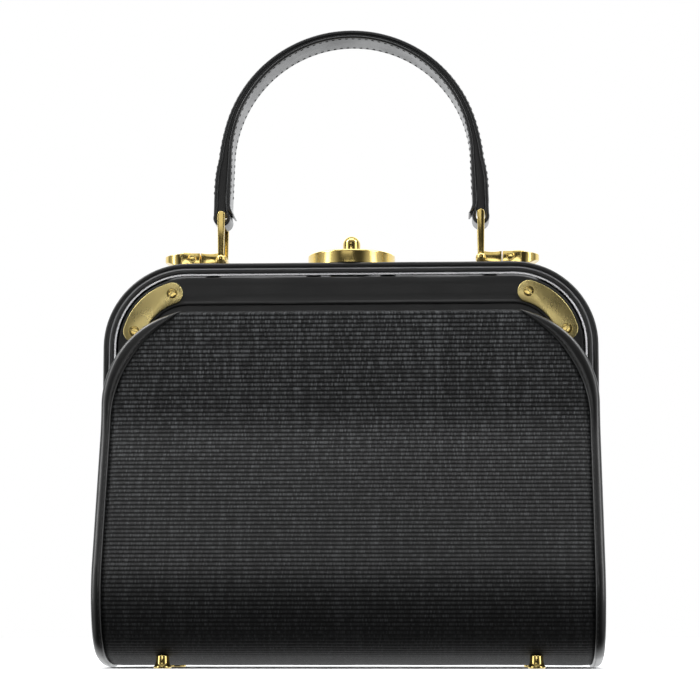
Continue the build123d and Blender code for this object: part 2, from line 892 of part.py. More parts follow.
with BuildPart() as handle_outer_strap:
    with BuildSketch(Plane.XZ.offset(handle_half_width)):
        add(handle_layer(handle_lines[0], handle_lines[1], handle_leg_z))
        for side in (-1, 1):
            for way, near, away in ((1, 1, 0), (-1, 2, 3)):
                with BuildLine():
                    Polyline(
                        (side * (ring_x + way * loop_radius), ring_bar_z),
                        (side * handle_lines[away][2], handle_leg_z),
                        (side * handle_lines[near][2], handle_leg_z),
                        (side * (ring_x + way * loop_bore), ring_bar_z),
                        close=True,
                    )
                make_face()
        with Locations(*loop_places):
            Circle(loop_radius)
            Circle(loop_bore, mode=Mode.SUBTRACT)
        with Locations(*[(x, ring_bar_z + loop_bore) for x, _ in loop_places]):
            Rectangle(2 * loop_bore - 0.6, 2.6, mode=Mode.SUBTRACT)
    extrude(amount=-2 * handle_half_width)
    add(handle_taper(), mode=Mode.INTERSECT)
save(handle_outer_strap.part, "handle_outer_strap")

for name, number in (("handle_core", 1), ("handle_inner_strap", 2)):
    with BuildPart() as layer:
        with BuildSketch(Plane.XZ.offset(handle_half_width)):
            add(handle_layer(handle_lines[number], handle_lines[number + 1], handle_leg_z))
        extrude(amount=-2 * handle_half_width)
        add(handle_taper(), mode=Mode.INTERSECT)
    save(layer.part, name)
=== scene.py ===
import math

import bmesh
import bpy
from mathutils import Matrix, Vector, noise


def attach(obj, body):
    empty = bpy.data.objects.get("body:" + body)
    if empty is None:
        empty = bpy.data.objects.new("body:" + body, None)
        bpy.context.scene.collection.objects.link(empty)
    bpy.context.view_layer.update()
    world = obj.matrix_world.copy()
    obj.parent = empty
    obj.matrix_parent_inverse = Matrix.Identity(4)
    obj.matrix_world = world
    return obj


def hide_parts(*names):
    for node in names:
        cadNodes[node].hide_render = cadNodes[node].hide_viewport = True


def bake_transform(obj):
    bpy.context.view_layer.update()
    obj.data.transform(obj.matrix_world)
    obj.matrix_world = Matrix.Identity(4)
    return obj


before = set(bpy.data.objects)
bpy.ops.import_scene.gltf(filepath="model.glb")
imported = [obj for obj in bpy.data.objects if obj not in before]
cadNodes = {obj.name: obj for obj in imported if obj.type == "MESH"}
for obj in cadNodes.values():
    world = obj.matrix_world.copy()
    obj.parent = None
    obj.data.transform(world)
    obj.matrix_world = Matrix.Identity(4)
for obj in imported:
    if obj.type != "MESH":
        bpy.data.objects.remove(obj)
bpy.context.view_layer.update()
mm = 0.001                      # every shape below is drawn in millimetres


# shader arithmetic: an expression on wrapped sockets adds its Math nodes
class Wire:
    def __init__(self, tree, socket):
        self.tree = tree
        self.socket = socket

    def combine(self, operation, first, second=None):
        node = self.tree.nodes.new("ShaderNodeMath")
        node.operation = operation
        for slot, value in zip(node.inputs, (first, second)):
            if isinstance(value, Wire):
                self.tree.links.new(value.socket, slot)
            elif value is not None:
                slot.default_value = value
        return Wire(self.tree, node.outputs[0])

    def __add__(self, other):
        return self.combine("ADD", self, other)

    def __radd__(self, other):
        return self.combine("ADD", other, self)

    def __sub__(self, other):
        return self.combine("SUBTRACT", self, other)

    def __rsub__(self, other):
        return self.combine("SUBTRACT", other, self)

    def __mul__(self, other):
        return self.combine("MULTIPLY", self, other)

    def __rmul__(self, other):
        return self.combine("MULTIPLY", other, self)

    def __truediv__(self, other):
        return self.combine("DIVIDE", self, other)

    def __pow__(self, other):
        return self.combine("POWER", self, other)

    def wave(self):
        return self.combine("SINE", self)

    def floor(self):
        return self.combine("FLOOR", self)

    def fraction(self):
        return self.combine("FRACT", self)

    def positive(self):
        return self.combine("MAXIMUM", self, 0.0)

    def ramp(self, low, high):
        node = self.tree.nodes.new("ShaderNodeMapRange")
        node.interpolation_type = "SMOOTHSTEP"
        self.tree.links.new(self.socket, node.inputs["Value"])
        node.inputs["From Min"].default_value = low
        node.inputs["From Max"].default_value = high
        return Wire(self.tree, node.outputs["Result"])


# camera, floor and lights
studio = {
    "lens": 114.0,
    "eye": (0.055, -1.219, 0.0161),
    "pitch": 7.4,                       # degrees above level
    "yaw": 2.628,
    "sensor": 36,
    "nearest": 0.05,
    "floorSize": 60.0,
    "floorColour": (0.9, 0.9, 0.9, 1),
    "floorRoughness": 0.6,
    "floorShine": 0.15,
    "skyWhite": (1.0, 1.0, 1.0, 1),
    "skyTint": (0.98, 0.99, 1, 1),
    # each glow: strength, then where it starts and is full along its direction
    "softSky": (1.95, 0.0, 0.8),
    "darkFront": 0.035,
    "backGlow": (1.0, 0.05, 0.55),
    "sideGlow": (0.5, 0.2, 0.6),
    "sideFade": (0.3, -0.2),
    "topGlow": (0.45, 0.45, 0.9),
    "lamps": (
        # name, place, aimed at, width, height, watts
        ("leftStrip", (-1.15, -0.55, 0.42), (0, 0, 0.2), 0.3, 1.2, 3.4),
        ("rightStrip", (1.15, -0.6, 0.42), (0, 0, 0.2), 0.3, 1.2, 3.0),
        ("topBox", (0.0, -0.25, 1.35), (0, 0, 0.15), 1.0, 0.5, 5),
        ("frontFill", (-0.3, -1.75, 0.96), (0, 0, 0.15), 0.9, 0.3, 0.7),
        ("leftCard", (-0.49, -3.0, 0.53), (-0.1, 0, 0.19), 0.6, 0.24, 1.1),
        ("rightCard", (0.21, -3.0, 0.53), (0.1, 0, 0.19), 0.56, 0.24, 1.0),
        ("backRim", (0.0, 1.2, 0.9), (0, 0, 0.2), 1.4, 0.6, 4),
        ("slitGlow", (0.0, 0.0135, 0.2065), (0, -1, 0.2065), 0.2, 0.007, 0.0016),
        ("highLeft", (-1.0, -0.2, 1.2), (-0.08, 0, 0.18), 0.6, 0.6, 7.0),
        ("highRight", (1.0, -0.25, 1.2), (0.08, 0, 0.18), 0.5, 0.5, 4.5),
    ),
}


def aimed(thing, place, target):
    thing.location = place
    look = Vector(target) - Vector(place)
    thing.rotation_euler = look.to_track_quat("-Z", "Y").to_euler()


def buildStudio():
    scene = bpy.context.scene
    scene.view_settings.view_transform = "Standard"
    camera = bpy.data.cameras.new("camera")
    camera.lens = studio["lens"]
    camera.sensor_width = studio["sensor"]
    camera.clip_start = studio["nearest"]
    eye = bpy.data.objects.new("camera", camera)
    eye.location = studio["eye"]
    eye.rotation_euler = (math.radians(90 + studio["pitch"]), 0, math.radians(studio["yaw"]))
    scene.collection.objects.link(eye)
    scene.camera = eye
    for name, place, target, width, height, watts in studio["lamps"]:
        light = bpy.data.lights.new(name, "AREA")
        light.shape = "RECTANGLE"
        light.size = width
        light.size_y = height
        light.energy = watts
        lamp = bpy.data.objects.new(name, light)
        aimed(lamp, place, target)
        lamp.visible_camera = False
        scene.collection.objects.link(lamp)
    world = bpy.data.worlds.new("studioSky")
    world.use_nodes = True
    scene.world = world
    tree = world.node_tree
    sky = tree.nodes["Background"]
    plain = tree.nodes.new("ShaderNodeBackground")
    plain.inputs["Color"].default_value = studio["skyWhite"]
    rays = tree.nodes.new("ShaderNodeLightPath")
    mixer = tree.nodes.new("ShaderNodeMixShader")
    place = tree.nodes.new("ShaderNodeTexCoord")
    parts = tree.nodes.new("ShaderNodeSeparateXYZ")
    tree.links.new(place.outputs["Generated"], parts.inputs[0])
    x, y, z = (Wire(tree, parts.outputs[axis]) for axis in "XYZ")

    def spread(wire, name):
        strength, start, full = studio[name]
        return wire.ramp(start, full), strength

    back, backStrength = spread(y, "backGlow")
    glow = studio["darkFront"] + back * backStrength
    sides, sideStrength = spread(x * x, "sideGlow")
    glow = glow + sides * y.ramp(*studio["sideFade"]) * sideStrength
    top, topStrength = spread(z, "topGlow")
    glow = glow + top * topStrength
    above, softStrength = spread(z, "softSky")
    soft = Wire(tree, rays.outputs["Is Diffuse Ray"])
    strength = glow + soft * (above * softStrength - glow)
    tree.links.new(strength.socket, sky.inputs["Strength"])
    tree.links.new(rays.outputs["Is Camera Ray"], mixer.inputs["Fac"])
    tree.links.new(sky.outputs[0], mixer.inputs[1])
    tree.links.new(plain.outputs[0], mixer.inputs[2])
    tree.links.new(mixer.outputs[0], tree.nodes["World Output"].inputs["Surface"])
    sky.inputs["Color"].default_value = studio["skyTint"]
    shape = bmesh.new()
    bmesh.ops.create_grid(shape, x_segments=1, y_segments=1, size=studio["floorSize"] / 2)
    mesh = bpy.data.meshes.new("floor")
    shape.to_mesh(mesh)
    shape.free()
    floor = bpy.data.objects.new("floor", mesh)
    scene.collection.objects.link(floor)
    paper = bpy.data.materials.new("floorPaper")
    paper.use_nodes = True
    shader = paper.node_tree.nodes["Principled BSDF"]
    shader.inputs["Base Color"].default_value = studio["floorColour"]
    shader.inputs["Roughness"].default_value = studio["floorRoughness"]
    shader.inputs["Specular IOR Level"].default_value = studio["floorShine"]
    mesh.materials.append(paper)
    floor.visible_glossy = False
    floor.visible_diffuse = False


buildStudio()
print("studio: camera, lamps, floor")


# finishes
class Finish:
    def __init__(self, name, **constants):
        self.material = bpy.data.materials.new(name)
        self.material.use_nodes = True
        self.tree = self.material.node_tree
        self.shader = self.tree.nodes["Principled BSDF"]
        for socket, value in constants.items():
            self.shader.inputs[socket.replace("_", " ")].default_value = value

    def node(self, kind, settings=None, inputs=None, output=0):
        node = self.tree.nodes.new(kind)
        for key, value in (settings or {}).items():
            setattr(node, key, value)
        for key, value in (inputs or {}).items():
            if isinstance(value, Wire):
                self.tree.links.new(value.socket, node.inputs[key])
            else:
                node.inputs[key].default_value = value
        return Wire(self.tree, node.outputs[output])

    def feed(self, socket, wire):
        self.tree.links.new(wire.socket, self.shader.inputs[socket])

    def place(self):
        return self.node("ShaderNodeTexCoord", output="Object")

    def noise(self, scale, detail=2.0, roughness=0.5, vector=None):
        vector = vector or self.place()
        return self.node("ShaderNodeTexNoise", {}, {
            "Vector": vector, "Scale": scale, "Detail": detail, "Roughness": roughness,
        })

    def stretched(self, scale):
        return self.node("ShaderNodeMapping", {}, {"Vector": self.place(), "Scale": scale})

    def mix(self, factor, first, second):
        node = self.tree.nodes.new("ShaderNodeMix")
        node.data_type = "RGBA"
        for slot, value in zip((node.inputs[0], node.inputs[6], node.inputs[7]),
                               (factor, first, second)):
            if isinstance(value, Wire):
                self.tree.links.new(value.socket, slot)
            else:
                slot.default_value = value
        return Wire(self.tree, node.outputs[2])

    def bump(self, height, distance, strength=1.0):
        normal = self.node("ShaderNodeBump", {}, {
            "Height": height, "Distance": distance, "Strength": strength,
        })
        self.feed("Normal", normal)

    def wear(self):
        return self.node("ShaderNodeAttribute", {"attribute_name": "edgeWear"}, output="Fac")


def grey(value, warmth=0.0):
    return (value * (1 + warmth), value, value * (1 - warmth), 1)


# leather: fine cells and pores, cloudy dullness, paler rubbed edges
grain = {"cells": 1500.0, "pores": 4200.0, "clouds": 45.0, "rubs": 160.0, "depth": 0.00006,
         "coatRoughness": 0.22, "wornTone": 0.03}


def leather(name, tone, shine, pebble=0.5, scuff=0.25, coat=0.3, cool=0.0):
    finish = Finish(name, Coat_Roughness=grain["coatRoughness"], IOR=1.5)
    cells = finish.node("ShaderNodeTexVoronoi", {"feature": "SMOOTH_F1"}, {
        "Vector": finish.place(), "Scale": grain["cells"], "Smoothness": 0.6,
    }, "Distance")
    pores = finish.noise(grain["pores"], 3.0, 0.6)
    cloudy = finish.noise(grain["clouds"], 3.0, 0.55)
    wearAndTopLight = finish.noise(grain["rubs"], 4.0, 0.65)
    worn = finish.wear() * (0.35 + wearAndTopLight * 0.9)
    dull = ((cloudy - 0.42) * 2.4).positive()
    base = finish.mix(cloudy, grey(tone * 0.7, -cool), grey(tone * 1.35, -cool))
    finish.feed("Base Color", finish.mix(worn * scuff, base,
                                         grey(tone * 5 + grain["wornTone"], -cool)))
    finish.feed("Roughness", shine + dull * 0.1 + worn * 0.12 + (wearAndTopLight - 0.5) * 0.08)
    finish.feed("Coat Weight", coat * (1.15 - dull * 0.7))
    finish.bump(cells * 0.75 + pores * 0.35 + cloudy * 0.8, grain["depth"], pebble)
    return finish.material


# metal: smudges, brushed lines and specks, brighter worn edges
polish = {"smudges": 70.0, "specks": 1400.0, "depth": 0.00001, "smudgeDulls": 0.18,
          "linesDull": 0.07}


def metal(name, colour, dark, shine, brush=(900, 60, 900), scratch=0.06):
    finish = Finish(name, Metallic=1.0)
    smudge = finish.noise(polish["smudges"], 3.0, 0.6)
    lines = finish.noise(1.0, 4.0, 0.6, finish.stretched(brush))
    specks = finish.noise(polish["specks"], 2.0, 0.5)
    worn = finish.wear()
    tint = finish.mix(smudge, colour, dark)
    bright = tuple(min(1.0, c * 1.15 + 0.04) for c in colour[:3]) + (1,)
    finish.feed("Base Color", finish.mix(worn * 0.55, tint, bright))
    finish.feed("Roughness", shine + (smudge - 0.4).positive() * polish["smudgeDulls"]
                + lines * polish["linesDull"])
    finish.bump(lines + specks * 0.3, polish["depth"], scratch)
    return finish.material


# horsehair: ribs across the bag with painted shade in their grooves, pale flecks of single
# hairs, painted light brightening it toward the top
weave = {
    "ribPitch": 2.3, "warpPitch": 0.85,
    "flatOrigin": 1.0,                  # keeps the flat pattern's coordinates positive, metres
    "wearAndTopLight": (1.04, 1.26),             # where the painted top light starts and is full, same coordinate
    # how strongly the painted top light brightens the flecks, hairs and streaks
    "topLightGain": 2.6,
    "streaks": (380.0, 7.0), "rows": 30.0, "rowStep": 3.7, "hairs": (650.0, 5200.0),
    # the first tone below is painted shade in the rib grooves, the next the tone on the rib
    # crests
    "grooveShade": 0.0012, "crest": 0.006, "fleck": 0.12, "depth": 0.0002, "strength": 0.8,
}


def horsehairCloth():
    finish = Finish("horsehair", IOR=1.38, Sheen_Weight=0.03, Sheen_Roughness=0.4)
    flat = finish.node("ShaderNodeUVMap", {"uv_map": "weave"})
    parts = finish.tree.nodes.new("ShaderNodeSeparateXYZ")
    finish.tree.links.new(flat.socket, parts.inputs[0])
    across = Wire(finish.tree, parts.outputs["X"])
    along = Wire(finish.tree, parts.outputs["Y"])
    rib = along / (weave["ribPitch"] * mm)
    ribNumber = rib.floor()
    inRib = rib.fraction()
    shift = (ribNumber * 0.5).fraction()
    warp = across / (weave["warpPitch"] * mm) + shift
    warpNumber = warp.floor()
    inWarp = warp.fraction()
    crest = (inRib * math.pi).wave()
    strand = (inWarp * math.pi).wave()
    cell = finish.node("ShaderNodeCombineXYZ", {}, {
        "X": warpNumber, "Y": ribNumber, "Z": 0.0})
    chance = finish.node("ShaderNodeTexWhiteNoise", {"noise_dimensions": "2D"}, {
        "Vector": cell}, "Value")
    streakPlace = finish.node("ShaderNodeCombineXYZ", {}, {
        "X": across * weave["streaks"][0], "Y": along * weave["streaks"][1], "Z": 0.0})
    streak = finish.noise(1.0, 3.0, 0.6, streakPlace)
    rowPlace = finish.node("ShaderNodeCombineXYZ", {}, {
        "X": across * weave["rows"], "Y": ribNumber * weave["rowStep"], "Z": 0.0})
    rowTone = finish.noise(1.0, 2.0, 0.5, rowPlace)
    hairPlace = finish.node("ShaderNodeCombineXYZ", {}, {
        "X": across * weave["hairs"][0], "Y": along * weave["hairs"][1], "Z": 0.0})
    hairs = finish.noise(1.0, 3.0, 0.65, hairPlace)
    # painted light: the flecks, hairs and streaks are scaled by the rib crest, so they show
    # lighter on the crests and fade in the grooves
    fleck = (chance ** 2.6) * crest * (strand * 0.75 + 0.25)
    light = fleck * 0.32 + (hairs - 0.5).positive() * 1.5 * crest
    # painted light: the flecks, hairs and streaks get brighter toward the top of the cloth,
    # standing in for light falling on its upper part
    wearAndTopLight = along.ramp(*weave["wearAndTopLight"])
    light = light * (0.35 + rowTone * 0.9) + (streak - 0.5).positive() * 0.55 * crest
    light = light * (1.0 + (wearAndTopLight ** 2) * weave["topLightGain"])
    # painted shade: the base colour goes darker from the rib crests down into the grooves
    body = finish.mix(crest, grey(weave["grooveShade"]), grey(weave["crest"], -0.02))
    finish.feed("Base Color", finish.mix(light, body, grey(weave["fleck"], -0.04)))
    finish.feed("Roughness", 0.56 - crest * 0.12 + hairs * 0.14)
    finish.bump(crest * 0.4 + strand * crest * 0.45 + hairs * 0.55 + fleck * 0.3,
                weave["depth"], weave["strength"])
    return finish.material


def wovenLining():
    finish = Finish("liningCloth", Sheen_Weight=0.35, Sheen_Roughness=0.5)
    threads = finish.node("ShaderNodeTexWave", {"bands_direction": "DIAGONAL"}, {
        "Vector": finish.place(), "Scale": 900.0, "Distortion": 0.6, "Detail": 2.0}, "Fac")
    cloudy = finish.noise(30.0, 3.0, 0.5)
    fuzz = finish.noise(2600.0, 2.0, 0.6)
    tone = finish.mix(cloudy, (0.30, 0.235, 0.165, 1), (0.38, 0.305, 0.22, 1))
    gaps = threads * 0.35 + fuzz * 0.2
    finish.feed("Base Color", finish.mix(gaps, tone, (0.17, 0.13, 0.09, 1)))
    finish.feed("Roughness", 0.8 + fuzz * 0.15)
    finish.bump(threads + fuzz * 0.5, 0.0001, 0.6)
    return finish.material


def fibreBoard():
    finish = Finish("fibreBoard")
    fibres = finish.noise(1.0, 4.0, 0.7, finish.stretched((300, 1500, 1500)))
    cloudy = finish.noise(40.0)
    finish.feed("Base Color", finish.mix(fibres * 0.6 + cloudy * 0.4,
                                         (0.12, 0.08, 0.05, 1), (0.25, 0.17, 0.105, 1)))
    finish.feed("Roughness", 0.75 + fibres * 0.2)
    finish.bump(fibres, 0.0002, 0.5)
    return finish.material


def waxedThread(name, tone):
    finish = Finish(name, Sheen_Weight=0.2)
    twist = finish.noise(5200.0, 2.0, 0.6)
    finish.feed("Base Color", finish.mix(twist, grey(tone * 0.6), grey(tone * 1.6)))
    finish.feed("Roughness", 0.42 + twist * 0.2)
    finish.bump(twist, 0.0001, 0.5)
    return finish.material


# name, tone, roughness, pebble, scuffing, coat, coolness
frameLeather = leather("frameLeather", 0.0038, 0.34, 0.45, 0.28, 0.35)
bandLeather = leather("bandLeather", 0.0042, 0.37, 0.35, 0.22, 0.3)
bindingLeather = leather("bindingLeather", 0.004, 0.26, 0.4, 0.3, 0.8)
handleLeather = leather("handleLeather", 0.0045, 0.3, 0.4, 0.3, 0.5, 0.05)
handleUnderLeather = leather("handleUnderLeather", 0.006, 0.33, 0.4, 0.25, 0.6, 0.03)
cutEdge = leather("cutEdge", 0.005, 0.42, 0.6, 0.2, 0.2)
gussetLeather = leather("gussetLeather", 0.0045, 0.42, 0.7, 0.2, 0.15)
horsehair = horsehairCloth()
liningCloth = wovenLining()
board = fibreBoard()
blackThread = waxedThread("blackThread", 0.008)
# name, colour, dark colour, roughness, brushing, scratches
brass = metal("polishedBrass", (0.88, 0.66, 0.23, 1), (0.80, 0.57, 0.17, 1), 0.07)
brassTurned = metal("turnedBrass", (0.88, 0.66, 0.23, 1), (0.80, 0.57, 0.17, 1), 0.13,
                    (60, 60, 2500), 0.3)
brassBrushed = metal("brushedBrass", (1.0, 0.78, 0.34, 1), (0.95, 0.70, 0.25, 1), 0.22,
                     (1400, 60, 60), 0.05)
nickel = metal("nickel", (0.8, 0.8, 0.81, 1), (0.66, 0.66, 0.68, 1), 0.16)
steel = metal("frameSteel", (0.55, 0.55, 0.56, 1), (0.4, 0.4, 0.41, 1), 0.3)
blackSteel = metal("blackenedSteel", (0.05, 0.05, 0.052, 1), (0.02, 0.02, 0.02, 1), 0.38)

cadFinishes = {
    "arch_steel_core": steel, "arch_liner": nickel,
    "front_band_rail": steel, "rear_band_rail": steel,
    "front_hinge_pins": steel, "rear_frame_rivets": steel,
    "base_board": board, "front_stiffener": cutEdge, "rear_stiffener": cutEdge,
    "foot_nuts": blackSteel, "lock_bushing": brass, "lock_backplate": blackSteel,
    "lock_studs": blackSteel, "bracket_studs": blackSteel, "lock_hook": brass,
    "hook_nut": brass, "catch_plate": brass, "catch_screws": brass, "cap_screws": brass,
}
for nodeName, finish in cadFinishes.items():
    cadMesh = cadNodes[nodeName].data
    cadMesh.materials.clear()
    cadMesh.materials.append(finish)
print("finishes made")


# shaping helpers: shapes are drawn in millimetres and scaled to metres at the end
def patch(rows, columns, place, flat=None):
    shape = bmesh.new()
    bmesh.ops.create_grid(shape, x_segments=columns, y_segments=rows, size=0.5)
    if flat:
        layer = shape.loops.layers.uv.new("weave")
        for face in shape.faces:
            for loop in face.loops:
                loop[layer].uv = flat(loop.vert.co.x + 0.5, loop.vert.co.y + 0.5)
    for vert in shape.verts:
        vert.co = place(vert.co.x + 0.5, vert.co.y + 0.5)
    return shape


def closeUp(shape):
    bmesh.ops.remove_doubles(shape, verts=shape.verts, dist=0.004)
    rims = [edge for edge in shape.edges if edge.is_boundary]
    if rims:
        bmesh.ops.holes_fill(shape, edges=rims, sides=0)
    bmesh.ops.recalc_face_normals(shape, faces=shape.faces)


def faceToward(shape, toward):
    total = Vector()
    for face in shape.faces:
        face.normal_update()
        total += face.normal * face.calc_area()
    if total.dot(Vector(toward)) < 0:
        bmesh.ops.reverse_faces(shape, faces=shape.faces)


fullWear = 0.5                  # an edge this sharp, in radians, is fully worn


def markWear(shape):
    layer = shape.verts.layers.float.new("edgeWear")
    for vert in shape.verts:
        sharpest = 0.0
        for edge in vert.link_edges:
            if len(edge.link_faces) == 2:
                sharpest = max(sharpest, edge.calc_face_angle(0.0))
        vert[layer] = min(1.0, sharpest / fullWear)


def piece(name, shape, finish, body=None, replaced=(), sharp=35):
    markWear(shape)
    bmesh.ops.scale(shape, vec=(mm, mm, mm), verts=shape.verts)
    mesh = bpy.data.meshes.new(name)
    shape.to_mesh(mesh)
    shape.free()
    made = bpy.data.objects.new(name, mesh)
    bpy.context.scene.collection.objects.link(made)
    mesh.materials.append(finish)
    mesh.polygons.foreach_set("use_smooth", [True] * len(mesh.polygons))
    mesh.set_sharp_from_angle(angle=math.radians(sharp))
    if body:
        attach(made, body)
    if replaced:
        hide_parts(*replaced)
    return made


def thicken(made, thickness, offset):
    wall = made.modifiers.new("wall", "SOLIDIFY")
    wall.thickness = thickness * mm
    wall.offset = offset


def eased(share):
    share = min(1.0, max(0.0, share))
    return share * share * (3 - 2 * share)


def gather(shapes):
    whole = bmesh.new()
    for shape in shapes:
        mesh = bpy.data.meshes.new("part")
        shape.to_mesh(mesh)
        shape.free()
        whole.from_mesh(mesh)
        bpy.data.meshes.remove(mesh)
    return whole


def mirrored(shape, x=1, y=1):
    copy = shape.copy()
    bmesh.ops.scale(copy, vec=(x, y, 1), verts=copy.verts)
    if x * y < 0:
        bmesh.ops.reverse_faces(copy, faces=copy.faces)
    return copy


def softRing(low, high, radius, steps=4, lace=1):
    # a rounded rectangle: first coordinate inward, second along the bag's depth
    corners = (
        (high[0] - radius, high[1] - radius, 0), (low[0] + radius, high[1] - radius, 90),
        (low[0] + radius, low[1] + radius, 180), (high[0] - radius, low[1] + radius, 270),
    )
    ring = []
    for number, (x, y, start) in enumerate(corners):
        for step in range(steps + 1):
            turn = math.radians(start + 90 * step / steps)
            ring.append((x + radius * math.cos(turn), y + radius * math.sin(turn)))
        if number in (1, 3) and lace > 1:
            there = corners[(number + 1) % 4][1]
            for step in range(1, lace):
                ring.append((ring[-1][0], y + (there - y) * step / lace))
    return ring


def sweep(path, ringAt):
    # path: (x, z) stations; ringAt(station, x, z): points (inward, y)
    count = len(ringAt(0, *path[0]))
    frames = []
    for number, (x, z) in enumerate(path):
        before = path[max(number - 1, 0)]
        after = path[min(number + 1, len(path) - 1)]
        dx, dz = after[0] - before[0], after[1] - before[1]
        size = math.hypot(dx, dz)
        frames.append((x, z, dz / size, -dx / size, ringAt(number, x, z)))

    def place(u, v):
        x, z, nx, nz, ring = frames[round(v * (len(path) - 1))]
        inward, y = ring[round(u * count) % count]
        return Vector((x + nx * inward, y, z + nz * inward))

    shape = patch(len(path) - 1, count, place)
    closeUp(shape)
    return shape


def between(first, second, steps):
    return [(first[0] + (second[0] - first[0]) * k / steps,
             first[1] + (second[1] - first[1]) * k / steps) for k in range(steps)]


def arc(centre, radius, start, turn, steps):
    return [(centre[0] + radius * math.cos(math.radians(start + turn * k / steps)),
             centre[1] + radius * math.sin(math.radians(start + turn * k / steps)))
            for k in range(steps)]


def hoopPath(halfWidth, top, corner, foot, footRound, legSteps=24):
    # left foot, up, over and down to the right foot
    left = [(-halfWidth, foot + footRound * (1 - math.cos(math.radians(90 * k / 8))))
            for k in range(8)]
    left += between((-halfWidth, foot + footRound), (-halfWidth, top - corner), legSteps)
    left += arc((corner - halfWidth, top - corner), corner, 180, -90, 20)
    over = between((corner - halfWidth, top), (halfWidth - corner, top), 48)
    right = [(-x, z) for x, z in reversed(left)]
    return left + over + [(halfWidth - corner, top)] + right


def plate(outline, low, high, edge=0.35, steps=3, axis="z"):
    # a flat outline raised from low to high, its rims rounded
    shape = bmesh.new()
    verts = [shape.verts.new((x, y, low)) for x, y in outline]
    face = shape.faces.new(verts)
    raised = bmesh.ops.extrude_face_region(shape, geom=[face])
    tops = [item for item in raised["geom"] if isinstance(item, bmesh.types.BMVert)]
    bmesh.ops.translate(shape, vec=(0, 0, high - low), verts=tops)
    bmesh.ops.recalc_face_normals(shape, faces=shape.faces)
    if edge:
        rims = [line for line in shape.edges
                if abs(line.verts[0].co.z - line.verts[1].co.z) < 1e-6]
        bmesh.ops.bevel(shape, geom=rims, offset=edge, segments=steps, profile=0.5,
                        affect="EDGES", material=-1)
    if axis == "y":                 # outline drawn in x and z, raised toward +y
        bmesh.ops.rotate(shape, matrix=Matrix.Rotation(math.radians(90), 3, "X"),
                         verts=shape.verts)
        bmesh.ops.scale(shape, vec=(1, -1, 1), verts=shape.verts)
        bmesh.ops.reverse_faces(shape, faces=shape.faces)
    return shape


def turned(profile, steps=64):
    # profile: (radius, height) from the foot's centre to the top's centre
    shape = bmesh.new()
    verts = [shape.verts.new((radius, 0, height)) for radius, height in profile]
    edges = [shape.edges.new(pair) for pair in zip(verts, verts[1:])]
    bmesh.ops.spin(shape, geom=verts + edges, cent=(0, 0, 0), axis=(0, 0, 1),
                   angle=math.radians(360), steps=steps, use_merge=True)
    bmesh.ops.remove_doubles(shape, verts=shape.verts, dist=0.002)
    bmesh.ops.recalc_face_normals(shape, faces=shape.faces)
    return shape


def moved(shape, place, toward=None, turn=0.0):
    # stands a shape drawn along +z at a place, its top facing toward
    matrix = Matrix.Rotation(math.radians(turn), 4, "Z")
    if toward is not None:
        matrix = Vector(toward).to_track_quat("Z", "Y").to_matrix().to_4x4() @ matrix
    bmesh.ops.transform(shape, matrix=Matrix.Translation(place) @ matrix, verts=shape.verts)
    return shape


def slottedHead(radius, height, slotWidth, slotDepth, edge=0.22, dome=0.06):
    shape = turned(((0, 0), (radius, 0), (radius, height - edge),
                    (radius - edge * 0.3, height - edge * 0.3), (radius - edge, height),
                    (radius * 0.5, height + dome * 0.75), (0, height + dome)), 48)
    for side in (-1, 1):
        bmesh.ops.bisect_plane(shape, geom=shape.verts[:] + shape.edges[:] + shape.faces[:],
                               plane_co=(0, side * slotWidth / 2, 0), plane_no=(0, 1, 0))
    floor = [face for face in shape.faces if abs(face.calc_center_median().y) < slotWidth / 2
             and face.normal.z > 0.25]
    cut = bmesh.ops.extrude_face_region(shape, geom=floor)
    sunk = [item for item in cut["geom"] if isinstance(item, bmesh.types.BMVert)]
    for vert in sunk:
        vert.co.z = height - slotDepth
    bmesh.ops.delete(shape, geom=floor, context="FACES_KEEP_BOUNDARY")
    bmesh.ops.recalc_face_normals(shape, faces=shape.faces)
    return shape


def stitches(marks, size):
    # marks: (place, direction, outward); one flattened grain of thread each
    whole = bmesh.new()
    for place, direction, outward in marks:
        along = Vector(direction).normalized()
        out = Vector(outward).normalized()
        side = out.cross(along)
        turn = Matrix((along, side, out)).transposed().to_4x4()
        stretch = Matrix.Diagonal((size[0] / 2, size[1] / 2, size[2] / 2, 1))
        bmesh.ops.create_uvsphere(whole, u_segments=6, v_segments=5, radius=1,
                                  matrix=Matrix.Translation(place) @ turn @ stretch)
    return whole


# side outline of the bag: (distance from the middle, height) and the run along it
outline = {
    "bellyZ": 3.2,
    "arcs": ((150.0, 12.0), (28.0, 53.0), (47.0, 42.5)),
    "waist": (60.0, 28.8),
    "top": 193.5,
    "corner": 52.0,
    "halfWidth": 135.0,
    "clothHalf": 129.5,
    "sag": 1.9,                         # the belly hangs this much between the feet
    "sagReach": 34.0,
    "lineSteps": 16,
}


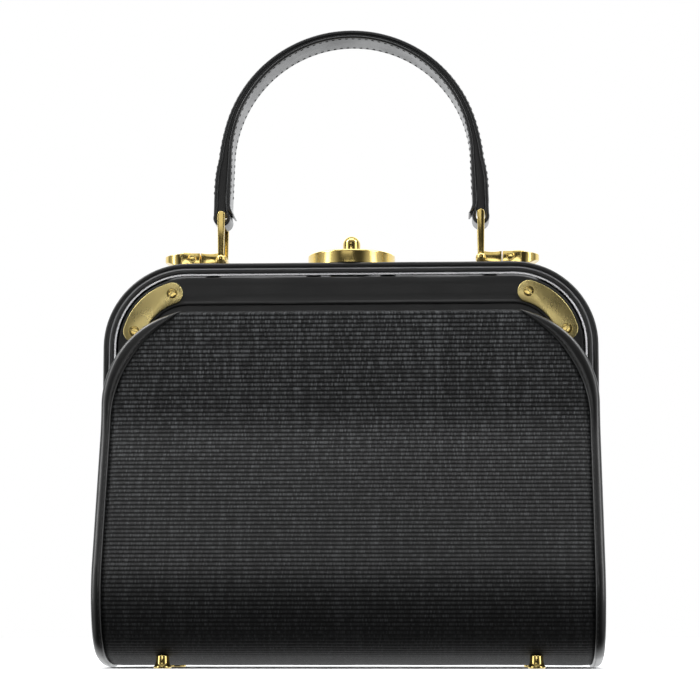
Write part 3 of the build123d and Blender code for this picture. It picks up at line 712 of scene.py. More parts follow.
def sideRun():
    points = [(0.0, outline["bellyZ"])]
    heading = 0.0
    for radius, turn in outline["arcs"]:
        steps = max(8, round(turn))
        y, z = points[-1]
        a = math.radians(heading)
        centre = (y - radius * math.sin(a), z + radius * math.cos(a))
        for k in range(1, steps + 1):
            b = math.radians(heading + turn * k / steps)
            points.append((centre[0] + radius * math.sin(b), centre[1] - radius * math.cos(b)))
        heading += turn
    radius, depth = outline["waist"]
    slope = math.radians(heading - 90)
    y, z = points[-1]
    run = (y - depth - radius * (1 - math.cos(slope))) / math.sin(slope)
    start = (y - run * math.sin(slope), z + run * math.cos(slope))
    steps = outline["lineSteps"]
    for k in range(1, steps + 1):
        points.append((y + (start[0] - y) * k / steps, z + (start[1] - z) * k / steps))
    centre = (start[0] + radius * math.cos(slope), start[1] + radius * math.sin(slope))
    for k in range(1, steps + 1):
        a = slope * (1 - k / steps)
        points.append((centre[0] - radius * math.cos(a), centre[1] - radius * math.sin(a)))
    points.append((depth, outline["top"]))
    reach = outline["sagReach"]
    points = [(y, z - outline["sag"] * math.exp(-(y / reach) ** 2)) for y, z in points]
    run = [0.0]
    for before, after in zip(points, points[1:]):
        run.append(run[-1] + math.dist(before, after))
    return points, run


sidePoints, sideLengths = sideRun()
sideLength = sideLengths[-1]


def sideAt(length):
    # point and outward normal (distance, height) at a run along the outline
    length = min(max(length, 0.0), sideLength - 1e-6)
    low, high = 0, len(sideLengths) - 1
    while high - low > 1:
        middle = (low + high) // 2
        if sideLengths[middle] <= length:
            low = middle
        else:
            high = middle
    share = (length - sideLengths[low]) / (sideLengths[high] - sideLengths[low])
    (y0, z0), (y1, z1) = sidePoints[low], sidePoints[high]
    here = (y0 + (y1 - y0) * share, z0 + (z1 - z0) * share)

    def normalOf(index):
        first = sidePoints[max(index - 1, 0)]
        last = sidePoints[min(index + 1, len(sidePoints) - 1)]
        dy, dz = last[0] - first[0], last[1] - first[1]
        size = math.hypot(dy, dz)
        return (0.0, -1.0) if index == 0 else (dz / size, -dy / size)

    n0, n1 = normalOf(low), normalOf(high)
    ny, nz = n0[0] + (n1[0] - n0[0]) * share, n0[1] + (n1[1] - n0[1]) * share
    size = math.hypot(ny, nz)
    return here, (ny / size, nz / size)


def lengthAtHeight(z):
    # run along the outline at a height above the widest part
    low, high = 70.0, sideLength
    for _ in range(40):
        middle = (low + high) / 2
        if sideAt(middle)[0][1] < z:
            low = middle
        else:
            high = middle
    return (low + high) / 2


def depthAtHeight(z):
    if z >= outline["top"]:
        return outline["waist"][1]
    low, high = 0.0, sideLength
    for _ in range(40):
        middle = (low + high) / 2
        if sideAt(middle)[0][1] < z:
            low = middle
        else:
            high = middle
    return sideAt((low + high) / 2)[0][0]


bindingArc = {"centreX": 66.32, "radius": 63.18, "startZ": 135.0, "endAngle": 80.0}


def innerX(z):
    if z <= bindingArc["startZ"]:
        return outline["clothHalf"]
    rise = z - bindingArc["startZ"]
    return bindingArc["centreX"] + math.sqrt(max(bindingArc["radius"] ** 2 - rise ** 2, 0))


def outerX(z):
    centre = outline["halfWidth"] - outline["corner"]
    rise = z - (outline["top"] - outline["corner"])
    if rise <= 0:
        return outline["halfWidth"]
    return centre + math.sqrt(max(outline["corner"] ** 2 - rise ** 2, 0))


# horsehair cloth, front and rear: ribbed sheets over the swelling body
cloth = {
    "rowsPerRib": 6, "columns": 44, "ribHeight": 0.32, "roll": 1.1, "under": 1.0,
    "thickness": 1.0, "unevenness": 0.25,
    "rimGap": 0.35, "edgeDrop": 0.35, "edgeWidth": 4.0,
    "cutCorners": 1.9e-3,               # square metres cut off at the upper corners
}


def clothPlace(side):
    roll = cloth["roll"]
    lastRun = sideLength - roll
    rollRun = roll * math.pi
    total = lastRun + rollRun

    def halfAt(z):
        return min(innerX(z) + cloth["under"], outerX(z) - cloth["rimGap"])

    def place(u, v):
        run = v * total
        here, normal = sideAt(min(run, lastRun))
        y, z = here
        if run > lastRun:
            turn = (run - lastRun) / roll
            y -= roll * (1 - math.cos(turn))
            z += roll * math.sin(turn)
            normal = (math.cos(turn), math.sin(turn))
        half = halfAt(z)
        x = (2 * u - 1) * half
        rib = 0.5 - 0.5 * math.cos(2 * math.pi * run / weave["ribPitch"])
        lift = (rib - 1) * cloth["ribHeight"] / 2
        lift += cloth["unevenness"] * (noise.noise(Vector((x * 0.02, run * 0.025, side))) - 0.2)
        edge = min(1.0, (half - abs(x)) / cloth["edgeWidth"])
        lift -= cloth["edgeDrop"] * (1 - edge)
        y += normal[0] * lift
        z += normal[1] * lift
        return Vector((x, side * y, z))

    def flat(u, v):
        run = v * total
        z = sideAt(min(run, lastRun))[0][1]
        origin = weave["flatOrigin"]
        return ((2 * u - 1) * halfAt(z) * mm + origin, run * mm + origin)

    rows = round(total / weave["ribPitch"] * cloth["rowsPerRib"])
    return patch(rows, cloth["columns"], place, flat)


def makeCloth(name, side, replaced):
    shape = clothPlace(side)
    faceToward(shape, (0, side, 0))
    made = piece(name, shape, horsehair, None, replaced, 180)
    thicken(made, cloth["thickness"], -1)
    return made


clothFlat = ((outline["clothHalf"] + cloth["under"]) * 2 * mm,
             (sideLength + cloth["roll"] * 2) * mm)
clothArea = clothFlat[0] * clothFlat[1] - cloth["cutCorners"]
# heights, in metres, between which the front is meant to bend as the mouth opens; they are read
# but no bend is set up
bend = {"start": (0, 0, 0.086), "end": (0, 0, 0.131)}

frontCloth = makeCloth("frontCloth", -1, ("body_wrap", "front_panel"))
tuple(bend["start"])
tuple(bend["end"])
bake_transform(frontCloth)
rearCloth = makeCloth("rearCloth", 1, ("body_wrap",))
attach(rearCloth, "bag")
print("horsehair cloths made")


# leather bindings along both sides of each cloth
binding = {
    "section": ((0.0, -1.0), (0.0, 0.3), (0.03, 0.72), (0.1, 1.0), (0.24, 1.12),
                (0.42, 1.06), (0.6, 0.84), (0.76, 0.48), (0.9, -0.02), (0.98, -0.7),
                (1.0, -1.4), (1.0, -2.2), (0.97, -2.65), (0.88, -2.8), (0.5, -2.8),
                (0.5, -1.0)),
    "cornerExtra": 1.7, "fullWidth": 2.6, "unevenness": 0.12,
    "stitchLift": 0.98, "stitchLeast": 2.4,     # no stitches where it is narrower than this
    "stations": 150, "cornerStations": 56, "stitchPitch": 3.4, "stitchInset": 1.25,
    "stitch": (2.1, 0.55, 0.5),
}


def bindingStations():
    stations = []
    startRun = lengthAtHeight(bindingArc["startZ"])
    for k in range(binding["stations"]):
        here, normal = sideAt(startRun * k / binding["stations"])
        stations.append(((outline["clothHalf"], here), (outline["halfWidth"], here), normal))
    cornerZ = outline["top"] - outline["corner"]
    endZ = cornerZ + outline["corner"] * math.sin(math.radians(bindingArc["endAngle"]))
    innerTurn = math.asin((endZ - bindingArc["startZ"]) / bindingArc["radius"])
    straight = cornerZ - bindingArc["startZ"]
    outerRun = straight + outline["corner"] * math.radians(bindingArc["endAngle"])
    for k in range(binding["cornerStations"] + 1):
        share = k / binding["cornerStations"]
        turn = innerTurn * share
        extra = binding["cornerExtra"] * min(1.0, share * 2.2) * min(1.0, (1 - share) * 7)
        xi = bindingArc["centreX"] + (bindingArc["radius"] - extra) * math.cos(turn)
        zi = bindingArc["startZ"] + (bindingArc["radius"] - extra) * math.sin(turn)
        run = outerRun * share
        if run < straight:
            xo, zo = outline["halfWidth"], bindingArc["startZ"] + run
        else:
            turn = (run - straight) / outline["corner"]
            xo = outline["halfWidth"] - outline["corner"] * (1 - math.cos(turn))
            zo = cornerZ + outline["corner"] * math.sin(turn)
        normal = sideAt(lengthAtHeight(min(zi, outline["top"] - 0.5)))[1]
        stations.append(((xi, (depthAtHeight(zi), zi)), (xo, (depthAtHeight(zo), zo)), normal))
    return stations


bindingLine = bindingStations()


def bindingShape(x, y):
    section = binding["section"]
    count = len(section)

    def place(u, v):
        inner, outer, normal = bindingLine[round(v * (len(bindingLine) - 1))]
        share, height = section[round(u * count) % count]
        first = Vector((inner[0], inner[1][0], inner[1][1]))
        last = Vector((outer[0], outer[1][0], outer[1][1]))
        width = (last - first).length
        slim = min(1.0, width / binding["fullWidth"])
        spotOf = Vector((first.z * 0.06, first.y * 0.06, x * 2 + y))
        wobble = binding["unevenness"] * noise.noise(spotOf)
        spot = first + (last - first) * share
        lift = height * slim + (wobble if height > 0 else 0)
        spot += Vector((0, normal[0], normal[1])) * lift
        return Vector((spot.x * x, spot.y * y, spot.z))

    shape = patch(len(bindingLine) - 1, count, place)
    closeUp(shape)
    return shape


def bindingMarks(x, y):
    marks = []
    spent = 0.0
    previous = None
    for inner, outer, normal in bindingLine:
        first = Vector((inner[0], inner[1][0], inner[1][1]))
        last = Vector((outer[0], outer[1][0], outer[1][1]))
        width = (last - first).length
        if width < binding["stitchLeast"]:
            break
        out = Vector((0, normal[0], normal[1]))
        spot = first + (last - first) * (binding["stitchInset"] / width)
        spot += out * binding["stitchLift"]
        if previous is not None:
            spent += (spot - previous).length
            if spent >= binding["stitchPitch"]:
                spent -= binding["stitchPitch"]
                step = spot - previous
                marks.append((Vector((spot.x * x, spot.y * y, spot.z)),
                              Vector((step.x * x, step.y * y, step.z)),
                              Vector((0, out.y * y, out.z))))
        previous = spot
    return marks


for sideName, x in (("left", -1), ("right", 1)):
    for endName, y in (("front", -1), ("rear", 1)):
        label = endName + sideName.capitalize()
        stood = [sideName + "_binding"]
        if endName == "front":
            stood.append("front_" + sideName + "_binding")
        strip = piece(label + "Binding", bindingShape(x, y), bindingLeather, None,
                      stood, 50)
        seam = piece(label + "Stitches", stitches(bindingMarks(x, y), binding["stitch"]),
                     blackThread, None)
        for made in (strip, seam):
            if endName == "front":
                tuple(bend["start"])
                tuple(bend["end"])
                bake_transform(made)
            else:
                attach(made, "bag")
print("bindings made")


# frame arch: rounded leather covers over the steel
arch = {
    "halfWidth": 135.0, "top": 220.0, "corner": 46.0, "foot": 108.0, "footRound": 12.0,
    "halfDepth": 24.0, "unevenness": 0.07,
    # how far in, wall, edge radius
    "outerCover": (0.0, 3.1, 1.3), "innerCover": (3.8, 2.3, 0.95),
}


def archCover(inset, wall, radius):
    half = arch["halfDepth"]
    ring = softRing((0, -half), (wall, half), radius, 5)
    path = hoopPath(arch["halfWidth"] - inset, arch["top"] - inset, arch["corner"] - inset,
                    arch["foot"], arch["footRound"])

    def ringAt(number, x, z):
        rise = min(1.0, max(0.0, (z - arch["foot"]) / arch["footRound"]))
        end = half - arch["footRound"] * (1 - math.sqrt(1 - (1 - rise) ** 2))
        wobble = arch["unevenness"] * noise.noise(Vector((x * 0.03, z * 0.03, inset)))
        return [(a + wobble * (a < wall / 2), b * end / half) for a, b in ring]

    return sweep(path, ringAt)


piece("archOuterLeather", archCover(*arch["outerCover"]), frameLeather, "bag",
      ("arch_outer_cover",))
piece("archInnerLeather", archCover(*arch["innerCover"]), frameLeather, "bag",
      ("arch_inner_cover",))
print("arch made")


# bands: the hoops that carry the panels
band = {
    "halfWidth": 125.8, "top": 211.0, "corner": 37.0, "foot": 123.0, "hingeY": -19.5,
    "hingeZ": 128.0, "endRadius": 5.0, "legSteps": 22, "unevenness": 0.1,
    "frontGrow": 1.0, "rearGrow": 1.9,  # how far the outer face stands out past the frame
    "outerFace": 1.2, "frontFace": -24.4,
    # inward and along the depth; the small ridge runs round the panel
    "section": ((0.0, -23.4), (0.12, -23.95), (0.5, -24.38), (1.1, -24.5), (4.0, -24.5),
                (8.0, -24.5), (12.0, -24.5), (12.5, -24.62), (13.0, -24.9), (13.5, -24.95),
                (14.0, -24.75), (14.4, -24.3), (14.5, -23.5), (18.0, -23.5), (22.9, -23.5),
                (23.0, -23.3), (23.0, -21.6), (17.0, -21.5), (12.2, -21.5), (12.2, -14.7),
                (12.0, -14.5), (9.3, -14.5), (9.3, -20.4), (2.9, -20.4), (2.9, -14.5),
                (0.2, -14.5), (0.0, -14.7)),
}


def bandShape(grow):
    path = hoopPath(band["halfWidth"], band["top"], band["corner"], band["foot"],
                    band["endRadius"], band["legSteps"])

    def ringAt(number, x, z):
        drop = max(0.0, band["hingeZ"] - z) / band["endRadius"]
        close = math.sqrt(max(0.02, 1 - drop * drop))
        ring = []
        for inward, y in band["section"]:
            outer = inward - grow if inward < band["outerFace"] else inward
            swell = band["unevenness"] * noise.noise(Vector((x * 0.035, z * 0.035, inward)))
            ring.append((outer, band["hingeY"] + (y - band["hingeY"]) * close
                         + (swell if y < band["frontFace"] else 0)))
        return ring

    return sweep(path, ringAt)


piece("frontBandLeather", bandShape(band["frontGrow"]), bandLeather, "front_mouth",
      ("front_band_cover",))
piece("rearBandLeather", mirrored(bandShape(band["rearGrow"]), 1, -1), bandLeather, "bag",
      ("rear_band_cover",))
print("bands made")


# brass corner plates with slotted screws
cornerPlate = {
    "centre": (88.8, 174.0), "path": 30.3, "width": 12.0, "start": 16.0, "sweep": 57.5,
    "face": 24.5, "thick": 1.2, "edge": 0.32, "headRadius": 2.9, "headHeight": 0.9,
    "headSunk": 0.8, "slot": (0.75, 0.6),
    "slotTurn": 25, "otherScrew": 70, "otherSide": 40,      # degrees
}


def crescentOutline():
    middle, radius = cornerPlate["centre"], cornerPlate["path"]
    half = cornerPlate["width"] / 2
    start, end = cornerPlate["start"], cornerPlate["start"] + cornerPlate["sweep"]

    def spot(angle):
        a = math.radians(angle)
        return (middle[0] + radius * math.cos(a), middle[1] + radius * math.sin(a))

    points = arc(middle, radius + half, start, end - start, 36)
    points += arc(spot(end), half, end, 180, 20)
    points += arc(middle, radius - half, end, start - end, 24)
    points += arc(spot(start), half, start + 180, 180, 20)
    return points


def screwPlaces():
    middle, radius = cornerPlate["centre"], cornerPlate["path"]
    for angle in (cornerPlate["start"], cornerPlate["start"] + cornerPlate["sweep"]):
        a = math.radians(angle)
        yield middle[0] + radius * math.cos(a), middle[1] + radius * math.sin(a)


for endName, y, body in (("front", -1, "front_mouth"), ("rear", 1, "bag")):
    heads = []
    for sideName, x in (("left", -1), ("right", 1)):
        flatPlate = plate(crescentOutline(), cornerPlate["face"],
                          cornerPlate["face"] + cornerPlate["thick"], cornerPlate["edge"], 3,
                          "y")
        flatPlate = mirrored(flatPlate, x, y)
        piece(endName + sideName.capitalize() + "Crescent", flatPlate, brassBrushed, body,
              (endName + "_" + sideName + "_corner_plate",))
        for number, (sx, sz) in enumerate(screwPlaces()):
            head = slottedHead(cornerPlate["headRadius"], cornerPlate["headHeight"],
                               *cornerPlate["slot"])
            turn = (cornerPlate["slotTurn"] + cornerPlate["otherScrew"] * number
                    + cornerPlate["otherSide"] * x)
            foot = y * (cornerPlate["face"] + cornerPlate["headSunk"])
            heads.append(moved(head, (sx * x, foot, sz), (0, y, 0), turn))
    piece(endName + "CrescentScrews", gather(heads), brassTurned, body,
          (endName + "_corner_screws",))
print("corner plates made")


# turn lock
lock = {
    "foot": 220.0, "knobFoot": 227.8,
    # profiles of radius and height
    "plate": ((0, 0), (23.9, 0), (24.2, 0.3), (24.2, 6.3), (24.1, 6.8), (23.8, 7.2),
              (23.3, 7.42), (22.6, 7.5), (20.2, 7.5), (19.9, 7.35), (19.6, 7.05), (19.0, 6.95),
              (9.0, 6.95), (8.6, 7.05), (8.3, 7.4), (7.9, 7.5), (5.6, 7.5), (5.2, 7.3),
              (5.0, 6.9), (0, 6.9)),
    "knob": ((0, -1.6), (2.4, -1.6), (2.4, 0.0), (4.4, 0.05), (4.75, 0.3), (4.85, 0.7),
             (4.85, 5.6), (4.78, 6.6), (4.5, 7.7), (4.0, 8.7), (3.35, 9.5), (2.5, 10.2),
             (1.3, 10.68), (0, 10.8)),
    "shaft": ((0, 206.6), (2.3, 206.6), (2.5, 206.8), (2.5, 227), (0, 227)),
}
piece("lockRosette", moved(turned(lock["plate"], 128), (0, 0, lock["foot"])), brassTurned,
      "bag", ("lock_plate",), 40)
piece("lockKnob", moved(turned(lock["knob"], 64), (0, 0, lock["knobFoot"])), brass,
      "turn_lock", ("lock_knob",), 40)
piece("lockShaft", turned(lock["shaft"], 32), brass, "turn_lock")
print("turn lock made")


# bell feet on studs
bellFoot = {
    "across": 99.3, "deep": 33.0,
    "profile": ((0, 0), (4.0, 0), (4.4, 0.1), (4.65, 0.45), (4.65, 1.0), (4.4, 1.5),
                (4.1, 2.1), (3.85, 3.0), (3.65, 4.2), (3.5, 5.6), (3.4, 6.6), (1.5, 6.6),
                (1.5, 20.7), (1.3, 21.0), (0, 21.0)),
}
feet = [moved(turned(bellFoot["profile"], 48),
              (sx * bellFoot["across"], sy * bellFoot["deep"], 0))
        for sx in (-1, 1) for sy in (-1, 1)]
piece("bellFeet", gather(feet), brass, "bag", ("feet",), 45)
print("feet made")


# ring blocks, caps, rings and their pins
bracket = {
    "ringX": 72.0, "pivotZ": 224.3, "barZ": 248.0, "blockNear": 73.5, "blockFar": 83.3,
    "foot": 220.0, "height": 8.0, "halfDepth": 10.3, "knuckle": 3.0, "dip": 0.5,
    "capNear": 83.9, "capFlat": 6.0, "capRound": 94.0, "tip": 7.2, "tipLift": 4.0,
    "capEdge": 0.35, "edge": 0.3,
    "ringInner": 10.6, "ringDepth": 2.6, "ringEdge": 0.42, "bar": 1.7, "barReach": 0.6,
    "ringWaist": 1.65, "ringFoot": 2.5, "ringHead": 2.0, "headRise": 1.2, "waistRise": 3.2,
    "pin": (88.2, 224.8),
    "pinHead": ((0, 0.0), (2.3, 0), (2.3, 0.4), (2.1, 0.65), (1.6, 0.72), (1.25, 0.6),
                (1.1, 0.25), (0, 0.2)),
    # radius and height past the ring's face, from the stem to the tip of its ball head
    "ball": ((1.5, 0.0), (2.2, 0.0), (2.15, 0.6), (1.7, 1.2), (0.9, 1.6), (0, 1.7)),
}


def blockShape():
    foot, top = bracket["foot"], bracket["foot"] + bracket["height"]
    near, away = bracket["blockNear"], bracket["blockFar"]
    middle = (near + away) / 2
    points = [(near, foot), (away, foot), (away, top)]
    for k in range(1, 10):
        share = k / 10
        points.append((away + (near - away) * share,
                       top - bracket["dip"] * math.sin(math.pi * share)))
    points.append((near, top))
    start = math.degrees(math.atan2(top - bracket["pivotZ"], near - bracket["ringX"]))
    end = math.degrees(math.atan2(foot - bracket["pivotZ"], near - bracket["ringX"]))
    wrap = arc((bracket["ringX"], bracket["pivotZ"]), bracket["knuckle"], start,
               end + 360 - start, 26)
    points += wrap[1:]
    return plate(points, -bracket["halfDepth"], bracket["halfDepth"], bracket["edge"], 3, "y")


def capShape():
    half, near, middle = bracket["halfDepth"], bracket["capNear"], bracket["capRound"]
    foot, top = bracket["foot"], bracket["foot"] + bracket["height"]
    points = [(near, half), (near, -half)]
    points += arc((middle, 0), half, -90, 180, 40) + [(middle, half)]
    shape = plate(points, foot, top, 0)
    bend = near + bracket["capFlat"]
    for across in (bend, middle):
        bmesh.ops.bisect_plane(shape, geom=shape.verts[:] + shape.edges[:] + shape.faces[:],
                               plane_co=(across, 0, 0), plane_no=(1, 0, 0))
    tipX = middle + half
    for vert in shape.verts:
        if vert.co.z > foot + 0.1 and vert.co.x > bend:
            fall = (vert.co.x - bend) / (tipX - bend)
            vert.co.z = top - fall * (bracket["height"] - bracket["tip"])
        elif vert.co.z < foot + 0.1 and vert.co.x > middle:
            vert.co.z = foot + (vert.co.x - middle) / half * bracket["tipLift"]
    rims = [line for line in shape.edges if line.calc_face_angle(0) > math.radians(40)]
    bmesh.ops.bevel(shape, geom=rims, offset=bracket["capEdge"], segments=3, profile=0.5,
                    affect="EDGES", material=-1, clamp_overlap=True)
    return shape


def ringShape():
    middle, waist, head = bracket["ringX"], bracket["ringWaist"], bracket["ringHead"]
    low, high = bracket["pivotZ"], bracket["barZ"] + bracket["headRise"]
    points = arc((middle, low), bracket["ringFoot"], -214, 248, 24)
    points += [(middle + waist, low + bracket["waistRise"])]
    points += arc((middle, high), head, 0, 180, 18)
    points += [(middle - head, high), (middle - waist, low + bracket["waistRise"])]
    near = bracket["ringInner"]
    upright = plate(points, near, near + bracket["ringDepth"], bracket["ringEdge"], 3, "y")
    reach, radius = near + bracket["barReach"], bracket["bar"]
    bar = turned(((0, -reach), (radius, -reach), (radius, reach), (0, reach)), 32)
    moved(bar, (middle, 0, bracket["barZ"]), (0, 1, 0))
    return gather([mirrored(upright, 1, -1), upright, bar])


def ringPinShape():
    reach = bracket["ringInner"] + bracket["ringDepth"]
    profile = [(radius, -reach - rise) for radius, rise in reversed(bracket["ball"])]
    profile += [(radius, reach + rise) for radius, rise in bracket["ball"]]
    return moved(turned(profile, 36), (bracket["ringX"], 0, bracket["pivotZ"]), (0, 1, 0))


def capPinShapes():
    x, z = bracket["pin"]
    face = bracket["halfDepth"] - 0.02
    for side in (-1, 1):
        for end in (-1, 1):
            yield moved(turned(bracket["pinHead"], 32), (side * x, end * face, z), (0, end, 0))


for sideName, x in (("left", -1), ("right", 1)):
    piece(sideName + "RingBlock", mirrored(blockShape(), x), brass, "bag",
          (sideName + "_ring_block",))
    piece(sideName + "RingCap", mirrored(capShape(), x), brass, "bag",
          (sideName + "_ring_cap",))
    piece(sideName + "Ring", mirrored(ringShape(), x), brass, sideName + "_ring",
          (sideName + "_ring",))
    piece(sideName + "RingPin", mirrored(ringPinShape(), x), brass, sideName + "_ring",
          (sideName + "_ring_pin",))
piece("capPinHeads", gather(list(capPinShapes())), brass, "bag", ("cap_pins",))
print("rings made")


# handle: outer strap that wraps both ring bars, core, inner strap, stitching
handle = {
    "spring": 281.3, "legFoot": 255.0,
    # half span, crown height, half span at the foot: from the outer face to the inner one
    "lines": ((72.2, 353.5, 76.1), (70.2, 351.7, 73.9), (68.6, 350.9, 70.0),
              (66.6, 349.3, 67.4)),
    "halfWidth": 12.0, "endHalf": 9.6, "taperTop": 315.0, "taperFoot": 257.0,
    "ringX": 72.0, "barZ": 248.0, "wrap": 3.75, "wrapStart": 20,
    "strapHalfThick": 1.05, "strapEdge": 0.75, "tabHalf": 9.2, "loopHalf": 9.5, "crown": 0.45,
    "tab": ((-69.9, 262.0), (-69.7, 258.5), (-69.4, 255.5), (-69.0, 253.0), (-68.6, 251.0)),
    "coreFoot": 251.2, "coreTrim": 0.5, "coreEdge": 0.2, "undersideEdge": 0.7,
    "stitch": (1.95, 0.6, 0.5), "stitchPitch": 3.7, "stitchInset": 2.3, "stitchFoot": 262,
    "swell": (1.7, 274.0, 15.0),        # how far the legs bow out, where, and over what height
    "swellFrom": 69,                    # lines with a smaller half span stay straight
    "flare": ((-70.0, -67.4, 255.0), (-69.3, -66.9, 253.2), (-67.6, -66.2, 251.2),
              (-66.1, -65.3, 249.6)),
}


def handleHalf(z):
    share = eased((z - handle["taperFoot"]) / (handle["taperTop"] - handle["taperFoot"]))
    return handle["endHalf"] + (handle["halfWidth"] - handle["endHalf"]) * share


def legLine(line, foot=handle["legFoot"]):
    # from the left leg's foot over the crown to the right leg's foot
    side, crown, low = line
    spring = handle["spring"]
    most, height, spread = handle["swell"]
    if side < handle["swellFrom"]:
        most = 0.0

    def swollen(x, z):
        return x - most * math.exp(-((z - height) / spread) ** 2)

    left = []
    for k in range(12):
        z = foot + (spring - foot) * k / 12
        share = min(1.0, max(0.0, (z - handle["legFoot"]) / (spring - handle["legFoot"])))
        left.append((swollen(-(low + (side - low) * share ** 1.2), z), z))
    over = []
    for k in range(37):
        turn = math.radians(180 - 2.5 * k)
        z = spring + (crown - spring) * math.sin(turn)
        x = side * math.cos(turn)
        over.append((swollen(x, z) if k < 18 else x, z))
    half = left + over
    return half + [(-x, z) for x, z in reversed(half[:-1])]


def layerShape(first, second, trim, radius, steps=3, lace=8, foot=handle["legFoot"], flare=()):
    outer, inner = legLine(first, foot), legLine(second, foot)
    if flare:
        tips = flare[::-1]
        outer = ([(x0, z) for x0, _, z in tips] + outer[1:-1]
                 + [(-x0, z) for x0, _, z in flare])
        inner = ([(x1, z) for _, x1, z in tips] + inner[1:-1]
                 + [(-x1, z) for _, x1, z in flare])

    def ringPoints(number):
        wall = math.dist(outer[number], inner[number])
        half = handleHalf(outer[number][1]) - trim
        ring = softRing((0, -half), (wall, half), min(radius, wall * 0.45), steps, lace)
        return [(inward / wall, y) for inward, y in ring]

    stations = [ringPoints(number) for number in range(len(outer))]
    count = len(stations[0])

    def place(u, v):
        number = round(v * (len(outer) - 1))
        share, y = stations[number][round(u * count) % count]
        (x0, z0), (x1, z1) = outer[number], inner[number]
        return Vector((x0 + (x1 - x0) * share, y, z0 + (z1 - z0) * share))

    shape = patch(len(outer) - 1, count, place)
    closeUp(shape)
    return shape


def strapPath():
    # centre line of the outer strap: tab, round the left bar, over, round the right bar, tab
    outer, under = legLine(handle["lines"][0]), legLine(handle["lines"][1])
    crown = [((a[0] + b[0]) / 2, (a[1] + b[1]) / 2) for a, b in zip(outer, under)]
    begin = handle["wrapStart"]
    wrapped = arc((-handle["ringX"], handle["barZ"]), handle["wrap"], begin, -180 - 2 * begin,
                  22)
    wrapped += [(-handle["ringX"] - handle["wrap"] * math.cos(math.radians(begin)),
                 handle["barZ"] + handle["wrap"] * math.sin(math.radians(begin)))]
    start = list(handle["tab"]) + wrapped
    return start + crown + [(-x, z) for x, z in reversed(start)]


def strapShape():
    path = strapPath()
    last, tab = len(path) - 1, len(handle["tab"])

    def ringAt(number, x, z):
        end = min(number, last - number)
        half = handleHalf(z)
        thick = handle["strapHalfThick"]
        if end < tab:                   # the skived tab tucked under the loop
            half = handle["tabHalf"]
            thick = 0.5 + 0.5 * end / tab
        elif z < handle["legFoot"]:
            half = handle["loopHalf"]
        edge = min(handle["strapEdge"], thick * 0.8)
        ring = softRing((-thick, -half), (thick, half), edge, 4, 8)
        crown = handle["crown"] if z > handle["taperFoot"] and end >= tab else 0.0
        return [(a - (crown * (1 - (b / half) ** 2) if a < 0 else 0), b) for a, b in ring]

    return sweep(path, ringAt)


def handleMarks(line, lift, inward):
    marks = []
    path = legLine(line)
    for side in (-1, 1):
        spent = 0.0
        for before, after in zip(path, path[1:]):
            step = math.dist(before, after)
            spent += step
            while spent >= handle["stitchPitch"]:
                spent -= handle["stitchPitch"]
                share = 1 - spent / step
                x = before[0] + (after[0] - before[0]) * share
                z = before[1] + (after[1] - before[1]) * share
                dx, dz = (after[0] - before[0]) / step, (after[1] - before[1]) / step
                out = (-dz, dx) if not inward else (dz, -dx)
                y = side * (handleHalf(z) - handle["stitchInset"])
                if z > handle["stitchFoot"]:
                    marks.append((Vector((x + out[0] * lift, y, z + out[1] * lift)),
                                  Vector((dx, 0, dz)), Vector((out[0], 0, out[1]))))
    return marks


lines = handle["lines"]
piece("handleStrap", strapShape(), handleLeather, "handle",
      ("handle_outer_strap",), 45)
core = layerShape(lines[1], lines[2], handle["coreTrim"], handle["coreEdge"], 2, 2,
                  handle["coreFoot"])
piece("handleCore", core, cutEdge, "handle", ("handle_core",))
underside = layerShape(lines[2], lines[3], 0.0, handle["undersideEdge"], flare=handle["flare"])
piece("handleUnderside", underside, handleUnderLeather, "handle",
      ("handle_inner_strap",), 45)
piece("handleUnderStitches", stitches(handleMarks(lines[3], 0.05, True), handle["stitch"]),
      blackThread, "handle")
piece("handleTopStitches", stitches(handleMarks(lines[0], 0.3, False), handle["stitch"]),
      blackThread, "handle")
print("handle made")


# inside: lining bag, facings behind the panels, side gussets
inside = {
    "liningHalf": 121.5, "liningTop": 118.0, "wall": 2.9, "thick": 1.0, "overBase": 3.6,
    "slack": 5.0, "slackFrom": 70.0, "slackOver": 25.0,     # hangs further in toward its top
    "gathered": 0.15,                   # share of the rows that close the bottom
    "squareness": 0.16, "wrinkle": 1.1, "tuck": 0.6,
}


def liningShape():
    low = outline["bellyZ"] + inside["overBase"]
    bottom = inside["gathered"]

    def place(u, v):
        z = low + (inside["liningTop"] - low) * max(0.0, (v - bottom) / (1 - bottom))
        slack = min(1.0, max(0.0, (z - inside["slackFrom"]) / inside["slackOver"]))
        deep = depthAtHeight(z) - inside["wall"] - slack * inside["slack"]
        half = inside["liningHalf"]
        shrink = min(1.0, v / bottom)
        turn = 2 * math.pi * u
        power = inside["squareness"]
        cx, cy = math.cos(turn), math.sin(turn)
        x = half * math.copysign(abs(cx) ** power, cx)
        y = deep * math.copysign(abs(cy) ** power, cy)
        sag = noise.noise(Vector((x * 0.03, y * 0.05, z * 0.03))) * inside["wrinkle"]
        if abs(x) < half - 2 and v > 0.2:
            y -= math.copysign(inside["tuck"] * (1 + sag), y)
        return Vector((x * shrink, y * shrink, z + (0.5 * sag if shrink < 1 else 0)))

    shape = patch(40, 96, place)
    bmesh.ops.remove_doubles(shape, verts=shape.verts, dist=0.01)
    bmesh.ops.recalc_face_normals(shape, faces=shape.faces)
    return shape


liningBag = piece("liningBag", liningShape(), liningCloth, None, ("lining",),
                  60)
thicken(liningBag, inside["thick"], 0)
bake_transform(liningBag)


facing = {
    "foot": 112, "top": 198.4, "corner": 24.4, "half": 113.2, "depth": 20.9, "thick": 0.8,
    # below the band it spreads out toward the cloth
    "flareTop": 136, "flareHeight": 20, "flareWidth": 6, "clear": 5.4, "wrinkle": 0.35,
}


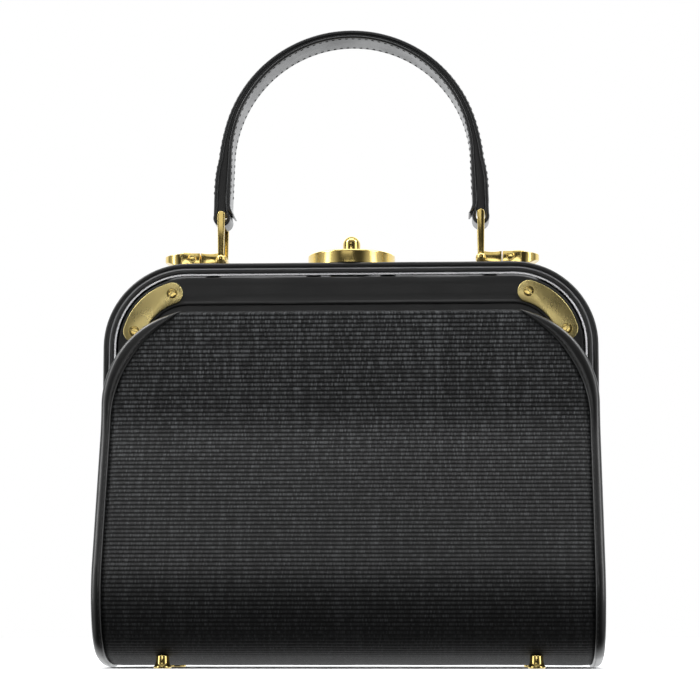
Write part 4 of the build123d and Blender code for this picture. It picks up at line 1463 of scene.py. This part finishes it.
def facingShape(side):
    top, corner, half = facing["top"], facing["corner"], facing["half"]

    def place(u, v):
        z = facing["foot"] + (top - facing["foot"]) * v
        rise = z - (top - corner)
        width = half
        if rise > 0:
            width += math.sqrt(max(corner ** 2 - rise ** 2, 0)) - corner
        flare = eased((facing["flareTop"] - z) / facing["flareHeight"])
        width += flare * facing["flareWidth"]
        deep = facing["depth"]
        deep += flare * (depthAtHeight(z) - facing["clear"] - facing["depth"])
        x = (2 * u - 1) * width
        deep += facing["wrinkle"] * noise.noise(Vector((x * 0.03, z * 0.04, side)))
        return Vector((x, side * deep, z))

    shape = patch(44, 56, place)
    faceToward(shape, (0, -side, 0))
    return shape


for endName, side in (("front", -1), ("rear", 1)):
    made = piece(endName + "Facing", facingShape(side), liningCloth, None)
    thicken(made, facing["thick"], 0)
    if endName == "front":
        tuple(bend["start"])
        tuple(bend["end"])
        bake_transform(made)
    else:
        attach(made, "bag")


# gussets: a flat lower part and a part above it that folds into the frame
gusset = {
    "half": 127.4, "foot": 6.0, "top": 122.0, "clear": 1.6, "thick": 1.2,
    "crease": 2.6, "creaseWidth": 9.0, "hollow": 1.2, "wrinkle": 0.35,
    "foldFoot": 116.0, "foldTop": 176.0, "foldHalf": 14.4, "foldX": (126.2, 113.4),
    "foldDepth": (3.0, 13.0), "spreadTop": 124, "spread": 0.75, "foldWrinkle": 0.3,
}


def lowerGusset(side):
    def place(u, v):
        z = gusset["foot"] + (gusset["top"] - gusset["foot"]) * v
        deep = depthAtHeight(z) - gusset["clear"]
        y = (2 * u - 1) * deep
        crease = math.exp(-(y / gusset["creaseWidth"]) ** 2) * gusset["crease"]
        crease *= min(1.0, v * 2.5)
        hollow = math.sin(math.pi * u) * math.sin(math.pi * min(1.0, v * 1.05))
        rough = gusset["wrinkle"] * noise.noise(Vector((y * 0.05, z * 0.04, side)))
        x = gusset["half"] - crease - gusset["hollow"] * hollow + rough
        return Vector((side * x, y, z))

    shape = patch(50, 40, place)
    faceToward(shape, (side, 0, 0))
    return shape


def upperGusset(side):
    def place(u, v):
        z = gusset["foldFoot"] + (gusset["foldTop"] - gusset["foldFoot"]) * v
        y = (2 * u - 1) * gusset["foldHalf"]
        if z < gusset["spreadTop"]:
            y *= 1 + gusset["spread"] * (gusset["spreadTop"] - z) / 8
        least, more = gusset["foldDepth"]
        fold = (1 - abs(2 * u - 1)) * (least + more * v)
        first, last = gusset["foldX"]
        last -= 3.0 * max(0.0, v - 0.55)
        x = first + (last - first) * eased((z - gusset["foldFoot"]) / 12)
        rough = gusset["foldWrinkle"] * noise.noise(Vector((y * 0.08, z * 0.06, side * 3)))
        return Vector((side * (x - fold + rough), y, z))

    shape = patch(36, 20, place)
    faceToward(shape, (side, 0, 0))
    return shape


for sideName, side in (("left", -1), ("right", 1)):
    lower = piece(sideName + "GussetSide", lowerGusset(side), gussetLeather, "bag",
                  (sideName + "_gusset",))
    upper = piece(sideName + "GussetFold", upperGusset(side), gussetLeather, None,
                  (), 60)
    thicken(lower, gusset["thick"], -1)
    thicken(upper, gusset["thick"], -1)
    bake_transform(upper)
print("inside made")
